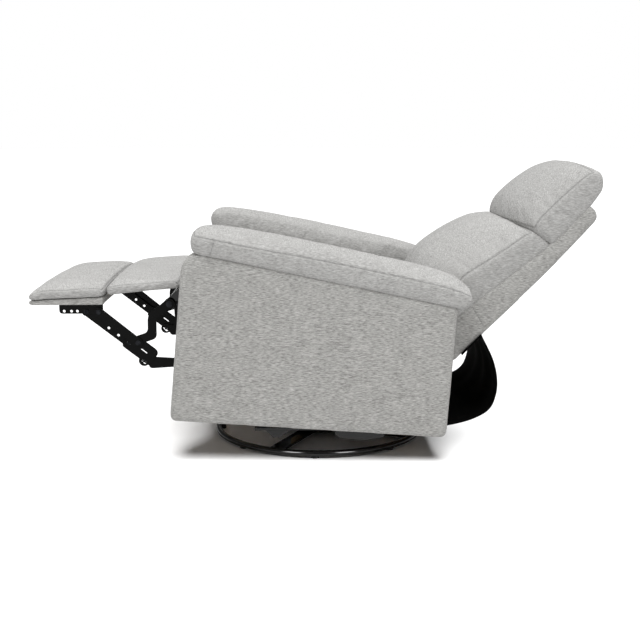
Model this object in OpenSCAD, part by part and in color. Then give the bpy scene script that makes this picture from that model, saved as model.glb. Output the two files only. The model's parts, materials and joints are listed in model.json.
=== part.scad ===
// Swivel rocker recliner with its back reclined and its footrest out.
// Frame: z up, the sitter faces -y, the sitter's left is +x. The origin is on
// the floor on the swivel axis. Side outlines are drawn as [y, z] points.

/* [Posture] */
// Backward lean of the body on its rockers, in degrees
body_lean = 4.3; // [3.8:0.1:4.8]
// Height of the rocking axis over the floor
rock_axis_z = 76; // [74:1:80]
// Furthest forward rock from the rest pose, in degrees
rock_travel = 10; // [8:1:11]
// Slope of the reclined back from level, in degrees
back_slope = 47; // [45:0.5:49]

/* [Base] */
// Radius of the floor ring, to the middle of its tube
ring_r = 276; // [260:1:300]
// Outer diameter of the ring's tube
ring_tube_d = 16; // [14:1:20]
// Height of the ring's underside over the floor
ring_lift = 5; // [4:0.5:8]
// Number of feet under the ring
foot_count = 8; // [6:1:12]
// Diameter of a foot
foot_d = 20; // [16:1:26]
// Angle of the first foot, in degrees
foot_turn = -3; // [-20:1:20]
// Width of a cross arm of the ring
cross_arm_w = 38; // [30:1:46]
// Thickness of a cross arm
cross_arm_t = 6; // [4:0.5:8]
// Angle of the first cross arm, in degrees
cross_turn = -25.5; // [-45:0.5:45]
// Diameter of the hub plate in the middle of the ring
hub_d = 150; // [120:1:180]
// Diameter of the swivel spindle
spindle_d = 30; // [24:1:36]
// Diameter of the swivel thrust bearing
bearing_d = 110; // [80:1:120]
// Thickness of the swivel thrust bearing
bearing_t = 4; // [3:0.5:6]

/* [Rocker base] */
// Width of the bent swivel plate
swivel_plate_w = 170; // [140:1:200]
// Thickness of the swivel plate
swivel_plate_t = 5; // [4:0.5:6]
// Distance of the cross bars' ends from the arm panels
bar_clear = 19; // [14:1:22]
// Height of the cross bars' top faces over the floor
bar_top_z = 67; // [64:1:68]
// Distance from the swivel axis to the middle of the front bar
front_bar_y = 113; // [100:1:120]
// Width of the front bar at its top
front_bar_w = 61; // [50:1:70]
// Depth of the front bar from its top to its flat underside
front_bar_h = 19; // [16:1:21]
// Distance from the swivel axis to the front edge of the rear bar
rear_bar_y = 37; // [30:1:45]
// Width of the rear bar
rear_bar_w = 124; // [110:1:126]
// Depth of the rear bar from its top to its lowest line
rear_bar_h = 27; // [24:1:28]
// Thickness of the two side rails
rail_t = 5.8; // [5:0.1:7]
// Width of the two side rails
rail_w = 26; // [24:1:30]
// Length of the side rails
rail_l = 334; // [330:1:350]
// Radius of the rubber fulcrum pads
fulcrum_r = 12; // [10:0.5:14]
// Distance of the springs and of the rocker cams' ends from the axis
spring_y = 100; // [95:1:110]
// Distance of the rubber stops from the rocking axis
stop_y = 150; // [145:1:155]
// Outer diameter of a rocker spring
spring_d = 24; // [20:1:25]
// Diameter of the rocker springs' wire
spring_wire_d = 3; // [2.5:0.1:3.5]
// Number of curls in a rocker spring
spring_curls = 5; // [4:1:6]

/* [Body] */
// Distance of the arm panels' front edge from the rocking axis
body_front = 364; // [350:1:380]
// Distance of the arm panels' rear edge from the rocking axis
body_rear = 304; // [295:1:310]
// Height of the panels' lower edge, with the body level
body_bottom = 99; // [95:1:102]
// Height of the arm seam line at the front edge, with the body level
arm_seam_h = 512.4; // [500:0.1:525]
// Fall of the arm from front to rear, in degrees
arm_slope = 7.6; // [6.5:0.1:8.5]
// Clear distance from the back's side to an arm panel
arm_clear = 32; // [31:0.5:40]
// Thickness of an arm panel
panel_w = 80; // [70:1:95]
// Rounding of the panels' top front corner
panel_round = 60; // [50:1:70]
// Rounding of the panels' lower corners
panel_foot_round = 12; // [8:1:20]
// Width of an arm pad
pad_w = 112; // [105:1:116]
// Overhang of the arm pad past the panel's outer face
pad_over = 5; // [0:0.5:10]
// Distance of the arm pad's front end behind the panel's front edge
pad_set_back = 24; // [15:1:35]
// Overhang of the arm pad past the panel's rear edge
pad_rear_over = 30; // [20:1:35]
// Height of the arm pad's side band
pad_band_h = 40; // [34:1:46]
// Height of the arm pad's crown over its underside
pad_crown_h = 75; // [65:1:80]
// Height of the body's wooden side rails
side_rail_h = 40; // [35:1:45]
// Height of the side rails over the panels' lower edge
side_rail_lift = 26; // [24:1:30]
// Width of the body's side rails
side_rail_w = 44; // [42:1:45]
// Thickness of the front and rear boards of the body
board_t = 13; // [11:1:16]
// Thickness of the rear dust cloth
cloth_t = 2.4; // [2:0.1:3]
// Clear distance from the rear dust cloth's side to an arm panel
cloth_clear = 22; // [12:1:32]

/* [Back] */
// Distance of the back shell's foot line behind the swivel axis
back_y = 403; // [400:1:406]
// Height of the back shell's foot line
back_z = 312; // [309:1:315]
// Width of the back
back_w = 480; // [470:1:482]
// Height of the shell over its foot line
shell_h = 412; // [405:1:420]
// Drop of the shell below its foot line
shell_skirt = 87; // [80:1:88]
// Depth of the shell at its foot
shell_deep = 74; // [70:1:76]
// Depth of the shell at its top
shell_thin = 30; // [28:1:33]
// Thickness of the shell's walls
shell_wall = 8; // [6:0.5:10]
// Width of the back's frame bars
stile_w = 24; // [20:1:30]
// Thickness of the back's frame bars
stile_t = 13; // [10:1:14]
// Height of the headrest's lower edge over the foot line
crease_h = 267; // [262:1:272]
// Depth of the back cushion's crown over the shell's rear face
back_crown = 216; // [210:1:218]
// Top of the headrest over the foot line
headrest_top = 480; // [470:1:485]
// Distance of the back's pivot behind the swivel axis
pivot_y = 255; // [252:1:257]
// Height of the back's pivot
pivot_z = 300; // [298:1:302]
// Diameter of the back's pivot pins
pivot_d = 14; // [12:1:16]

/* [Seat] */
// Distance of the seat's front rail ahead of the swivel axis
seat_rail_y = 317; // [312:1:320]
// Height of the seat's front rail
seat_rail_z = 404; // [402:1:406]
// Slope of the seat deck, in degrees
deck_slope = 10; // [9.5:0.1:10.5]
// Length of the seat springs between the rails' middles
deck_l = 506; // [500:1:508]
// Distance of the seat cushion's front edge ahead of the swivel axis
seat_front = 343; // [341:1:344]
// Length of the seat cushion
seat_l = 543; // [540:1:545]
// Width of the seat cushion
seat_w = 500; // [480:1:510]
// Height of the seat's front edge over its front rail
seat_t = 62; // [55:1:64]
// Height of the seat slide over the floor
track_z = 330; // [328:1:332]
// Length of a seat track
track_l = 350; // [340:1:360]
// Diameter of the seat rollers
roller_d = 12; // [10:1:14]
// Rearward reach of the apron behind the seat's rear rail
apron_run = 52; // [45:1:56]
// Fall of the apron over its reach
apron_drop = 32; // [30:1:38]
// Number of sinuous springs in the seat
seat_spring_count = 5; // [4:1:6]

/* [Footrest] */
// Distance of the footrest board's rear edge ahead of the swivel axis
footrest_y = 540; // [539:0.5:541]
// Height of the footrest board's underside
footrest_z = 392; // [391.5:0.5:394]
// Length of the footrest
footrest_l = 182; // [175:1:190]
// Height of the footrest pad's crest over the board's underside
footrest_h = 60; // [55:1:62]
// Clear distance from the footrest's side to the line of an arm panel
footrest_clear = 10; // [7:1:17]
// Distance of the flap's hinge ahead of the swivel axis
flap_y = 352; // [351:0.5:353]
// Height of the flap's hinge
flap_z = 427.4; // [427:0.1:428]
// Length of the flap between the seat and the footrest
flap_l = 178; // [176:1:179]
// Height of the flap's crown over its hinge
flap_h = 38; // [34:1:40]
// Diameter of the flap's hinge rod
flap_rod_d = 6; // [5:0.5:6]

/* [Footrest linkage] */
// Thickness of the links
link_t = 3; // [2.5:0.1:3.2]
// Free space between two links side by side
link_gap = 1; // [0.8:0.1:1.4]
// Room between a seat side plate and an arm panel, for the links
link_room = 54; // [53:0.5:56]
// Width of the links
link_w = 22; // [20:1:23]
// Diameter of the rivets
rivet_d = 8; // [7:0.5:8]
// Diameter of the torque tube
torque_d = 20; // [18:1:22]
// Bore of the torque tube
torque_bore = 16; // [12:1:16]
// Drive link pivot ahead of the swivel axis
drive_y = 378; // [377:0.5:379]
// Drive link pivot height
drive_z = 389; // [388:0.5:390]
// Lower link pivot ahead of the swivel axis
lower_y = 356; // [355:0.5:357]
// Lower link pivot height
lower_z = 385; // [384:0.5:386]
// Joint of the drive link and the long link ahead of the swivel axis
knee_y = 482; // [481:0.5:483]
// Height of the joint of the drive link and the long link
knee_z = 290; // [289:0.5:291]
// Joint of the long link and the lower link ahead of the swivel axis
tail_y = 445; // [444:0.5:446]
// Height of the joint of the long link and the lower link
tail_z = 243.5; // [242.5:0.5:244.5]
// Joint of the long link and the footrest ahead of the swivel axis
toe_y = 585; // [584:0.5:586]
// Height of the two joints under the footrest
toe_z = 370.5; // [369.5:0.5:371.5]
// Distance between the two joints under the footrest
toe_gap = 31.4; // [30.9:0.1:31.9]
// Distance from the knee to the short link's joint
short_gap = 24.3; // [23.8:0.1:24.8]
// Rise from the knee to the short link's joint
short_rise = 2; // [1.5:0.1:2.5]

/* [Clearances] */
// Gap between pieces that are seated on each other
seat_gap = 0.3; // [0.2:0.05:0.4]
// Gap round a rivet in its hole
rivet_gap = 0.25; // [0.15:0.05:0.3]

/* [Hidden] */

fine = 96;
over = 1;
steel = "#1b1b1c";
black_cloth = "#0c0c0d";
gray_fabric = "#a9aaa6";
light_fabric = "#c4c4c3";
wood = "#c9a878";
rubber = "#242424";

// Widths that follow the back and the arms beside it
inner_w = back_w + 2 * arm_clear;
bar_half = inner_w / 2 - bar_clear;
cloth_w = inner_w - 2 * cloth_clear;
footrest_w = inner_w - 2 * footrest_clear;
link_x = inner_w / 2 - link_room;

// Heights that stack up from the floor
tube_z = ring_lift + ring_tube_d / 2;
hub_top = tube_z + cross_arm_t / 2;
bearing_top = hub_top + bearing_t;
swivel_plate_z = bearing_top + seat_gap;
rail_z = bar_top_z + seat_gap;
rail_top = rail_z + rail_t;
rail_x = bar_half - rail_w / 2;

// Widths that step out from the middle
panel_in = inner_w / 2;
panel_out = panel_in + panel_w;
pad_out = panel_out + pad_over;
side_rail_in = panel_in - seat_gap - side_rail_w;
side_rail_z = body_bottom + side_rail_lift;
link_pitch = link_t + link_gap;
track_x = link_x + 5 * link_pitch + 2 * link_gap;
hinge_plate_x = back_w / 2 + seat_gap;

// Joints of the footrest linkage as side points
p_drive = [-drive_y, drive_z];
p_lower = [-lower_y, lower_z];
p_knee = [-knee_y, knee_z];
p_tail = [-tail_y, tail_z];
p_toe = [-toe_y, toe_z];
p_heel = p_toe + [toe_gap, 0];
p_short = p_knee + [short_gap, short_rise];
p_flap = [-flap_y, flap_z];
p_pivot = [pivot_y, pivot_z];

// Distance and direction between two side points
function gap_of(a, b) = norm(b - a);
function turn_of(a, b) = atan2(b[1] - a[1], b[0] - a[0]);

// A level body point after the body leans back by an angle
function lean_by(p, angle) = [
    p[0] * cos(angle) + (p[1] - rock_axis_z) * sin(angle),
    rock_axis_z - p[0] * sin(angle) + (p[1] - rock_axis_z) * cos(angle)
];

// A point of the back, up from its foot line and out from its rear face
function on_back(u, n) = [
    back_y + u * cos(back_slope) - n * sin(back_slope),
    back_z + u * sin(back_slope) + n * cos(back_slope)
];

// Height of the arm seam over the floor, with the body level
function seam_z(y) = arm_seam_h - (y + body_front) * tan(arm_slope);

// Depth of the back shell's front seam at a height over the foot line
function shell_seam(u) = shell_thin + (shell_deep - shell_thin) * max(0, 1 - max(u, 0) / (shell_h * 0.7));

// Outline with rounded corners, from [a, b, cut] corners and steps per corner
function cut_toward(a, b, cut) = a + (b - a) / norm(b - a) * min(cut, norm(b - a) * 0.49);
function corner_arc(a, p, b, cut, steps) = [
    for (k = [0:steps])
        let (t = k / steps)
            (1 - t) * (1 - t) * cut_toward(p, a, cut) + 2 * t * (1 - t) * p
                + t * t * cut_toward(p, b, cut)
];
function flat_point(c) = [c[0], c[1]];
function rounded(corners, steps) = [
    for (i = [0:len(corners) - 1])
        let (
            last = flat_point(corners[(i + len(corners) - 1) % len(corners)]),
            here = flat_point(corners[i]),
            next = flat_point(corners[(i + 1) % len(corners)])
        )
        each corner_arc(last, here, next, corners[i][2], steps)
];

// Shares of a length, a height and a rounding turned into real corners
function sized(shares, l, h, cut) = [for (s = shares) [s[0] * l, s[1] * h, s[2] * cut]];

// Middle of a ring of side points
function middle(ring) = [for (i = [0, 1]) sum_of([for (p = ring) p[i]]) / len(ring)];
function sum_of(v, i = 0) = i < len(v) ? v[i] + sum_of(v, i + 1) : 0;

// Ring between a side ring and a middle ring, drawn in toward its middle
function drawn_ring(side, mid, t, power, inset) =
    let (
        bulge = 1 - pow(abs(t), power),
        ring = [for (i = [0:len(side) - 1]) side[i] + (mid[i] - side[i]) * bulge],
        c = middle(ring)
    )
    [for (p = ring) p + (c - p) / max(norm(c - p), inset) * inset];

// Soft solid across the width: side ring at its ends, middle ring between
module crowned(side, mid, half_w, edge, power) {
    edge_shares = [1, 0.45, 0.12];
    core_shares = [0, 0.3, 0.6, 0.85];
    ends = [for (i = [0:2]) [half_w - edge * (1 - edge_shares[i]), edge * edge_shares[i] * 0.6]];
    cores = [for (i = [3:-1:0]) [(half_w - edge) * core_shares[i], 0]];
    right = concat(ends, cores);
    stations = concat(
        [for (s = right) [-s[0], s[1]]],
        [for (i = [len(right) - 2:-1:0]) right[i]]
    );
    rings = [for (s = stations) drawn_ring(side, mid, s[0] / half_w, power, s[1])];
    n = len(side);
    m = len(stations);
    caps = [for (j = [0, m - 1]) let (c = middle(rings[j])) [stations[j][0], c[0], c[1]]];
    points = concat(
        [for (j = [0:m - 1]) for (p = rings[j]) [stations[j][0], p[0], p[1]]],
        caps
    );
    walls = [
        for (j = [0:m - 2]) for (i = [0:n - 1])
            let (a = j * n + i, b = j * n + (i + 1) % n)
            each [[a, b, b + n], [a, b + n, a + n]]
    ];
    near_cap = [for (i = [0:n - 1]) [n * m, (i + 1) % n, i]];
    far_cap = [for (i = [0:n - 1]) [n * m + 1, n * (m - 1) + i, n * (m - 1) + (i + 1) % n]];
    polyhedron(points, concat(walls, near_cap, far_cap), convexity = 4);
}

// A side outline extruded across the middle, or from one side face outward
module across(w) { rotate([90, 0, 90]) linear_extrude(w, center = true) children(); }
module slab(x, t) { translate([x, 0, 0]) rotate([90, 0, 90]) linear_extrude(t) children(); }
module both() {
    children();
    mirror([1, 0, 0]) children();
}
module link_pair(plane) { both() slab(link_x + plane * link_pitch, link_t) children(); }

// The body's lean about the rocking axis
module leaned(angle = body_lean) {
    translate([0, 0, rock_axis_z])
        rotate([-angle, 0, 0])
            translate([0, 0, -rock_axis_z]) children();
}
module back_frame() { translate([0, back_y, back_z]) rotate([back_slope, 0, 0]) children(); }
module deck_frame() {
    translate([0, -seat_rail_y, seat_rail_z]) rotate([-deck_slope, 0, 0]) children();
}

// Edge of a flat strap along side points, on the left at side 1 and on the right at side -1
function ahead(points, i) =
    let (k = min(i, len(points) - 2))
    (points[k + 1] - points[k]) / norm(points[k + 1] - points[k]);
function strap_edge(points, w, side) = [
    for (i = [0:len(points) - 1])
        let (
            a = ahead(points, max(i - 1, 0)),
            b = ahead(points, i),
            out = [-a[1] - b[1], a[0] + b[0]] * side,
            end = i == 0 ? -b : i == len(points) - 1 ? a : a * 0
        )
        points[i] + out * w / (out * out) + end * w / 2
];

// Flat strap with round ends and corners along side points
module crank(points, w) {
    left = strap_edge(points, w, 1);
    right = strap_edge(points, w, -1);
    line = concat(left, [for (i = [len(right) - 1:-1:0]) right[i]]);
    polygon(rounded([for (p = line) [p[0], p[1], w / 2]], 6));
}
module strap(a, b, w) { crank([a, b], w); }
module hole(p, d) { translate(p) circle(d = d, $fn = fine); }

// Pin along x at a side point
module pin(p, x, l, d) {
    translate([x, p[0], p[1]]) rotate([0, 90, 0]) cylinder(d = d, h = l, $fn = fine);
}

// Base that stands on the floor

module ring_solid(extra) {
    translate([0, 0, tube_z])
        rotate_extrude($fn = fine)
            translate([ring_r, 0]) circle(d = ring_tube_d + 2 * extra, $fn = fine / 2);
}

module base_ring() {
    color(steel) ring_solid(0);
}

module base_cross() {
    color(steel) difference() {
        union() {
            translate([0, 0, hub_top - cross_arm_t]) cylinder(d = hub_d, h = cross_arm_t, $fn = fine);
            for (k = [0:3])
                rotate(cross_turn + 90 * k)
                    translate([0, -cross_arm_w / 2, hub_top - cross_arm_t])
                        cube([ring_r, cross_arm_w, cross_arm_t]);
        }
        ring_solid(seat_gap);
        translate([0, 0, hub_top - cross_arm_t - over])
            cylinder(d = spindle_d + 2 * seat_gap, h = cross_arm_t + 2 * over, $fn = fine);
    }
}

module floor_feet() {
    color(rubber) difference() {
        for (k = [0:foot_count - 1])
            rotate(foot_turn + 360 / foot_count * k)
                translate([ring_r - ring_tube_d / 2, 0, 0])
                    cylinder(d = foot_d, h = ring_lift + ring_tube_d / 6, $fn = fine);
        ring_solid(seat_gap);
    }
}

spindle_head_d = spindle_d * 1.5;
spindle_head_h = ring_lift * 0.6;
spindle_foot = hub_top - cross_arm_t - seat_gap;
nut_z = swivel_plate_z + swivel_plate_t + seat_gap;
nut_h = spindle_d / 4;

module swivel_spindle() {
    color(steel) {
        translate([0, 0, spindle_foot - spindle_head_h])
            cylinder(d = spindle_head_d, h = spindle_head_h, $fn = fine);
        translate([0, 0, spindle_foot - over])
            cylinder(d = spindle_d, h = nut_z + nut_h - spindle_foot + 2 * over, $fn = fine);
    }
}

module spindle_nut() {
    color(steel) translate([0, 0, nut_z]) difference() {
        cylinder(d = spindle_head_d, h = nut_h, $fn = 6);
        translate([0, 0, -over])
            cylinder(d = spindle_d + 2 * seat_gap, h = nut_h + 2 * over, $fn = fine);
    }
}

module swivel_bearing() {
    color("#55565a") translate([0, 0, hub_top]) difference() {
        cylinder(d = bearing_d, h = bearing_t, $fn = fine);
        translate([0, 0, -over])
            cylinder(d = spindle_d + 2 * seat_gap, h = bearing_t + 2 * over, $fn = fine);
    }
}

// Rocker base that turns on the swivel

front_bar_shares = [[-0.41, 1], [-0.115, 0], [0.115, 0], [0.59, 1]];
rear_bar_shares = [[0, 1], [0, 0.59], [0.1, 0.22], [0.61, 0], [1, 0.3], [1, 1]];
front_flat_share = 0.115;
front_bar_z = bar_top_z - front_bar_h;
rear_bar_z = bar_top_z - rear_bar_h;

module bar_outline(shares, y, z, w, h) {
    polygon([for (s = shares) [y + s[0] * w, z + s[1] * h]]);
}

module rocker_front_bar() {
    color(steel) across(2 * bar_half)
        bar_outline(front_bar_shares, -front_bar_y, front_bar_z, front_bar_w, front_bar_h);
}

module rocker_rear_bar() {
    color(steel) across(2 * bar_half)
        bar_outline(rear_bar_shares, rear_bar_y, rear_bar_z, rear_bar_w, rear_bar_h);
}

// Top line of the swivel plate: under the front bar, down, and up to the rear bar
plate_top = swivel_plate_z + swivel_plate_t;
plate_line = [
    [-front_bar_y - front_flat_share * front_bar_w, front_bar_z - seat_gap],
    [-front_bar_y + front_flat_share * front_bar_w, front_bar_z - seat_gap],
    [-bearing_d / 2 - swivel_plate_t, plate_top],
    [bearing_d / 2 - swivel_plate_t, plate_top],
    [rear_bar_y + 0.4 * rear_bar_w, rear_bar_z + 0.09 * rear_bar_h - seat_gap],
    [rear_bar_y + 0.61 * rear_bar_w, rear_bar_z - seat_gap]
];

module swivel_plate() {
    color(steel) difference() {
        across(swivel_plate_w)
            polygon(concat(
                plate_line,
                [for (i = [len(plate_line) - 1:-1:0]) plate_line[i] - [0, swivel_plate_t]]
            ));
        translate([0, 0, hub_top])
            cylinder(d = spindle_d + 2 * seat_gap, h = spindle_d, $fn = fine);
    }
}

module rocker_rails() {
    color(steel) both()
        translate([rail_x - rail_w / 2, -rail_l / 2, rail_z]) cube([rail_w, rail_l, rail_t]);
}

module fulcrum_pads() {
    color(rubber) both() difference() {
        translate([rail_x - rail_w / 2, 0, rock_axis_z])
            rotate([0, 90, 0]) cylinder(r = fulcrum_r, h = rail_w, $fn = fine);
        translate([rail_x - rail_w, -fulcrum_r * 2, rail_top + seat_gap - fulcrum_r * 2])
            cube([rail_w * 2, fulcrum_r * 4, fulcrum_r * 2]);
    }
}

// Space over the underside of the body's side rails at a lean angle
module over_side_rails(angle) {
    leaned(angle)
        translate([-panel_out, -body_front, side_rail_z - seat_gap])
            cube([2 * panel_out, body_front + body_rear, side_rail_h]);
}

module rock_stops() {
    stop_w = rail_w * 0.8;
    color(rubber) both() for (side = [-1, 1]) difference() {
        translate([rail_x - stop_w / 2, side * stop_y - stop_w / 2, rail_top + seat_gap])
            cube([stop_w, stop_w, side_rail_lift * 2]);
        over_side_rails(side > 0 ? body_lean : body_lean - rock_travel);
    }
}

// Coil spring between the rails and the side rails, as one swept tube
spring_ring_steps = 8;
spring_sides = 6;

function spring_point(t, r, h) = [r * cos(360 * t), r * sin(360 * t), h * t / spring_curls];

module coil(h) {
    r = (spring_d - spring_wire_d) / 2;
    wire_r = spring_wire_d / 2;
    count = spring_curls * spring_ring_steps;
    points = [
        for (i = [0:count]) for (k = [0:spring_sides - 1])
            let (
                t = i / spring_ring_steps,
                c = spring_point(t, r, h),
                a = 360 * k / spring_sides,
                out = wire_r * cos(a)
            )
            c + [out * cos(360 * t), out * sin(360 * t), wire_r * sin(a)]
    ];
    walls = [
        for (i = [0:count - 1]) for (k = [0:spring_sides - 1])
            let (a = i * spring_sides + k, b = i * spring_sides + (k + 1) % spring_sides)
            each [[a, b, b + spring_sides], [a, b + spring_sides, a + spring_sides]]
    ];
    last = count * spring_sides;
    ends = concat(
        [for (k = [1:spring_sides - 2]) [0, k + 1, k]],
        [for (k = [1:spring_sides - 2]) [last, last + k, last + k + 1]]
    );
    polyhedron(points, concat(walls, ends), convexity = 10);
}

// Height of the side rails' underside at a distance behind the axis
function underside_z(y) = lean_by([y, side_rail_z], body_lean)[1];

module rocker_springs() {
    tilt_room = spring_d / 2 * tan(body_lean);
    color("#8a8c90") both() for (side = [-1, 1])
        translate([rail_x, side * spring_y, rail_top + seat_gap + spring_wire_d / 2])
            coil(underside_z(side * spring_y) - rail_top - 2 * seat_gap - spring_wire_d - tilt_room);
}

// Least gap between two curls of the shorter spring
echo(spring_curl_gap = (underside_z(spring_y) - rail_top - spring_wire_d) / spring_curls - spring_wire_d);

// Body on its rocker cams, drawn level and leaned back

cam_t = 16;
cam_top_share = 0.7;
cam_shares = [[-1, 1], [-0.85, 0.38], [-0.15, 0.22], [0.15, 0.22], [0.85, 0.38], [1, 1]];

module rocker_cams() {
    reach = spring_y * cam_top_share;
    color(steel) both() leaned() slab(rail_x - cam_t / 2, cam_t) difference() {
        bar_outline(
            cam_shares, 0, rock_axis_z, reach, side_rail_z - seat_gap - rock_axis_z
        );
        hole([0, rock_axis_z], 2 * (fulcrum_r + seat_gap));
    }
}

side_rail_set_back = 34;
side_rail_front = body_front - side_rail_set_back;
side_rail_rear = body_rear - board_t - 2 * seat_gap;

module body_side_rails() {
    color(wood) both() leaned()
        translate([side_rail_in, -side_rail_front, side_rail_z])
            cube([side_rail_w, side_rail_front + side_rail_rear, side_rail_h]);
}

module body_front_board() {
    color(wood) leaned()
        translate([-side_rail_in + seat_gap, -side_rail_front, side_rail_z])
            cube([2 * (side_rail_in - seat_gap), board_t * 2, side_rail_h]);
}

module body_rear_board() {
    color(wood) leaned()
        translate([-panel_in + seat_gap, body_rear - board_t - seat_gap, body_bottom])
            cube([2 * (panel_in - seat_gap), board_t, side_rail_lift + side_rail_h]);
}

module arm_panel() {
    corners = [
        [-body_front, body_bottom, panel_foot_round],
        [-body_front, seam_z(-body_front), panel_round],
        [body_rear, seam_z(body_rear), panel_foot_round],
        [body_rear, body_bottom, panel_foot_round]
    ];
    leaned() slab(panel_in, panel_w) polygon(rounded(corners, 8));
}

module arm_panel_left() { color(gray_fabric) arm_panel(); }
module arm_panel_right() { color(gray_fabric) mirror([1, 0, 0]) arm_panel(); }

// Arm pad corners: share of the pad's length, share of its height, share of its rounding
pad_side_shares = [
    [0, 0, 0.7], [0, 1, 0.8], [0.22, 1, 1.5], [0.47, 1, 1.5], [0.8, 1, 1.5], [1, 1, 0.8],
    [1, 0.2, 0.5], [0.93, 0, 0.5]
];
pad_mid_shares = [
    [0, 0, 0.7], [0, 0.84, 1], [0.22, 0.97, 2], [0.47, 1.02, 2], [0.8, 0.95, 2], [1, 0.92, 1],
    [1, 0.12, 0.5], [0.93, 0, 0.5]
];
pad_front = -(body_front - pad_set_back);
pad_rear = body_rear + pad_rear_over;

// A corner over the arm seam line
function over_seam(c) =
    let (y = pad_front + c[0])
    [y, seam_z(y) + seat_gap + c[1], c[2]];

module arm_pad() {
    l = pad_rear - pad_front;
    cut = pad_band_h * 0.75;
    side = rounded([for (c = sized(pad_side_shares, l, pad_band_h, cut)) over_seam(c)], 3);
    mid = rounded([for (c = sized(pad_mid_shares, l, pad_crown_h, cut)) over_seam(c)], 3);
    leaned() translate([pad_out - pad_w / 2, 0, 0])
        crowned(side, mid, pad_w / 2, pad_w / 16, 2.4);
}

module arm_pad_left() { color(light_fabric) arm_pad(); }
module arm_pad_right() { color(light_fabric) mirror([1, 0, 0]) arm_pad(); }

bracket_t = 4;
bracket_x = panel_in - seat_gap - bracket_t;
pivot_head_t = 3;

module back_pivot_brackets() {
    bracket_w = pivot_d * 2.6;
    pin_in = hinge_plate_x - seat_gap - pivot_head_t;
    color(steel) both() {
        slab(bracket_x, bracket_t)
            strap(p_pivot, p_pivot - [bracket_w / 2, bracket_w * 2], bracket_w);
        pin(p_pivot, pin_in, bracket_x - pin_in + bracket_t / 2, pivot_d);
        pin(p_pivot, pin_in, pivot_head_t, pivot_d * 1.5);
    }
}

track_h = roller_d * 2;
track_rear = 200;
roller_front_y = -120;
roller_rear_y = 100;
roller_reach = 14;

module seat_tracks() {
    track_w = panel_in - seat_gap - track_x;
    groove_h = roller_d + 2 * seat_gap;
    color(steel) both() difference() {
        translate([track_x, track_rear - track_l, track_z - track_h / 2])
            cube([track_w, track_l, track_h]);
        translate([track_x - over, track_rear - track_l + roller_d, track_z - groove_h / 2])
            cube([roller_reach + 2 * over, track_l - 2 * roller_d, groove_h]);
    }
}

// Hanging cloth from the back's foot line to the rear board, as shares of the way
cloth_shares = [
    [0, 0], [0.14, -0.009], [0.3, 0.012], [0.515, 0.034], [0.773, 0.069], [1.01, 0.116],
    [1.186, 0.168], [1.33, 0.25], [1.423, 0.397], [1.423, 0.547], [1.34, 0.716],
    [1.186, 0.871], [1.07, 0.955], [1, 1]
];

function cloth_path(a, b) = [
    for (s = cloth_shares) [a[0] + s[0] * (b[0] - a[0]), a[1] + s[1] * (b[1] - a[1])]
];
function side_of(path, i, d) =
    let (
        a = path[max(i - 1, 0)],
        b = path[min(i + 1, len(path) - 1)],
        v = (b - a) / norm(b - a)
    )
    path[i] + d * [-v[1], v[0]];

module rear_dust_cloth() {
    low = lean_by([body_rear - board_t, body_bottom - seat_gap - cloth_t / 2], body_lean);
    high = on_back(0, -seat_gap - cloth_t / 2);
    path = cloth_path(low, high);
    last = len(path) - 1;
    color(black_cloth) across(cloth_w) polygon(concat(
        [for (i = [0:last]) side_of(path, i, cloth_t / 2)],
        [for (i = [last:-1:0]) side_of(path, i, -cloth_t / 2)]
    ));
}

// Back, in its own frame: along it from the foot line, and out from its rear face

shell_round = shell_thin * 0.55;
crisp_round = shell_round * 0.01;

function shell_corners(inset) = [
    [-shell_skirt + inset, inset, shell_round],
    [shell_h - inset, inset, shell_round],
    [shell_h - inset, shell_thin + inset, crisp_round],
    [shell_h * 0.7, shell_thin + inset, crisp_round],
    [0, shell_deep + inset, crisp_round],
    [-shell_skirt + inset, shell_deep + inset, crisp_round]
];

module back_shell() {
    color(gray_fabric) back_frame() difference() {
        across(back_w) polygon(rounded(shell_corners(0), 4));
        across(back_w - 2 * shell_wall) polygon(rounded(shell_corners(shell_wall), 4));
    }
}

stile_x = back_w / 2 - shell_wall - seat_gap - stile_w;
stile_n = shell_wall + seat_gap;
stile_low = -shell_skirt + shell_wall + shell_round + seat_gap;
stile_high = shell_h - shell_wall - shell_round - seat_gap;

module back_side_stiles() {
    color(wood) back_frame() both()
        translate([stile_x, stile_low, stile_n]) cube([stile_w, stile_high - stile_low, stile_t]);
}

module back_cross_rails() {
    half = stile_x - seat_gap;
    color(wood) back_frame()
        for (u = [stile_low, (stile_low + stile_high) / 2, stile_high - stile_w])
            translate([-half, u, stile_n]) cube([2 * half, stile_w, stile_t]);
}

webbing_t = 2;
webbing_w = 50;
webbing_count = 5;

module back_webbing() {
    half = stile_x + stile_w - seat_gap;
    pitch = (stile_high - stile_low - webbing_w) / (webbing_count - 1);
    color("#3a3a3c") back_frame() for (k = [0:webbing_count - 1])
        translate([-half, stile_low + pitch * k, stile_n + stile_t + seat_gap])
            cube([2 * half, webbing_w, webbing_t]);
}

hinge_root_in = 3.9;

module back_hinge_plates() {
    root = on_back(-shell_skirt * 0.71, shell_deep - hinge_root_in);
    color(steel) both() slab(hinge_plate_x, bracket_t) difference() {
        union() {
            strap(p_pivot, root, stile_w);
            hole(p_pivot, pivot_d * 2.2);
        }
        hole(p_pivot, pivot_d + 2 * rivet_gap);
    }
}

// Back cushion corners: share of the crease height, share of the crown, share of the rounding
back_side_shares = [
    [-0.19, 0.6, 1], [0.22, 0.6, 1.6], [0.55, 0.53, 1.6], [0.8, 0.5, 1.2], [0.99, 0.42, 0.8]
];
back_mid_shares = [
    [-0.17, 0.94, 1.6], [0.16, 1.02, 2.4], [0.55, 0.9, 2], [0.79, 0.78, 1.6], [0.985, 0.6, 1]
];

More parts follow.
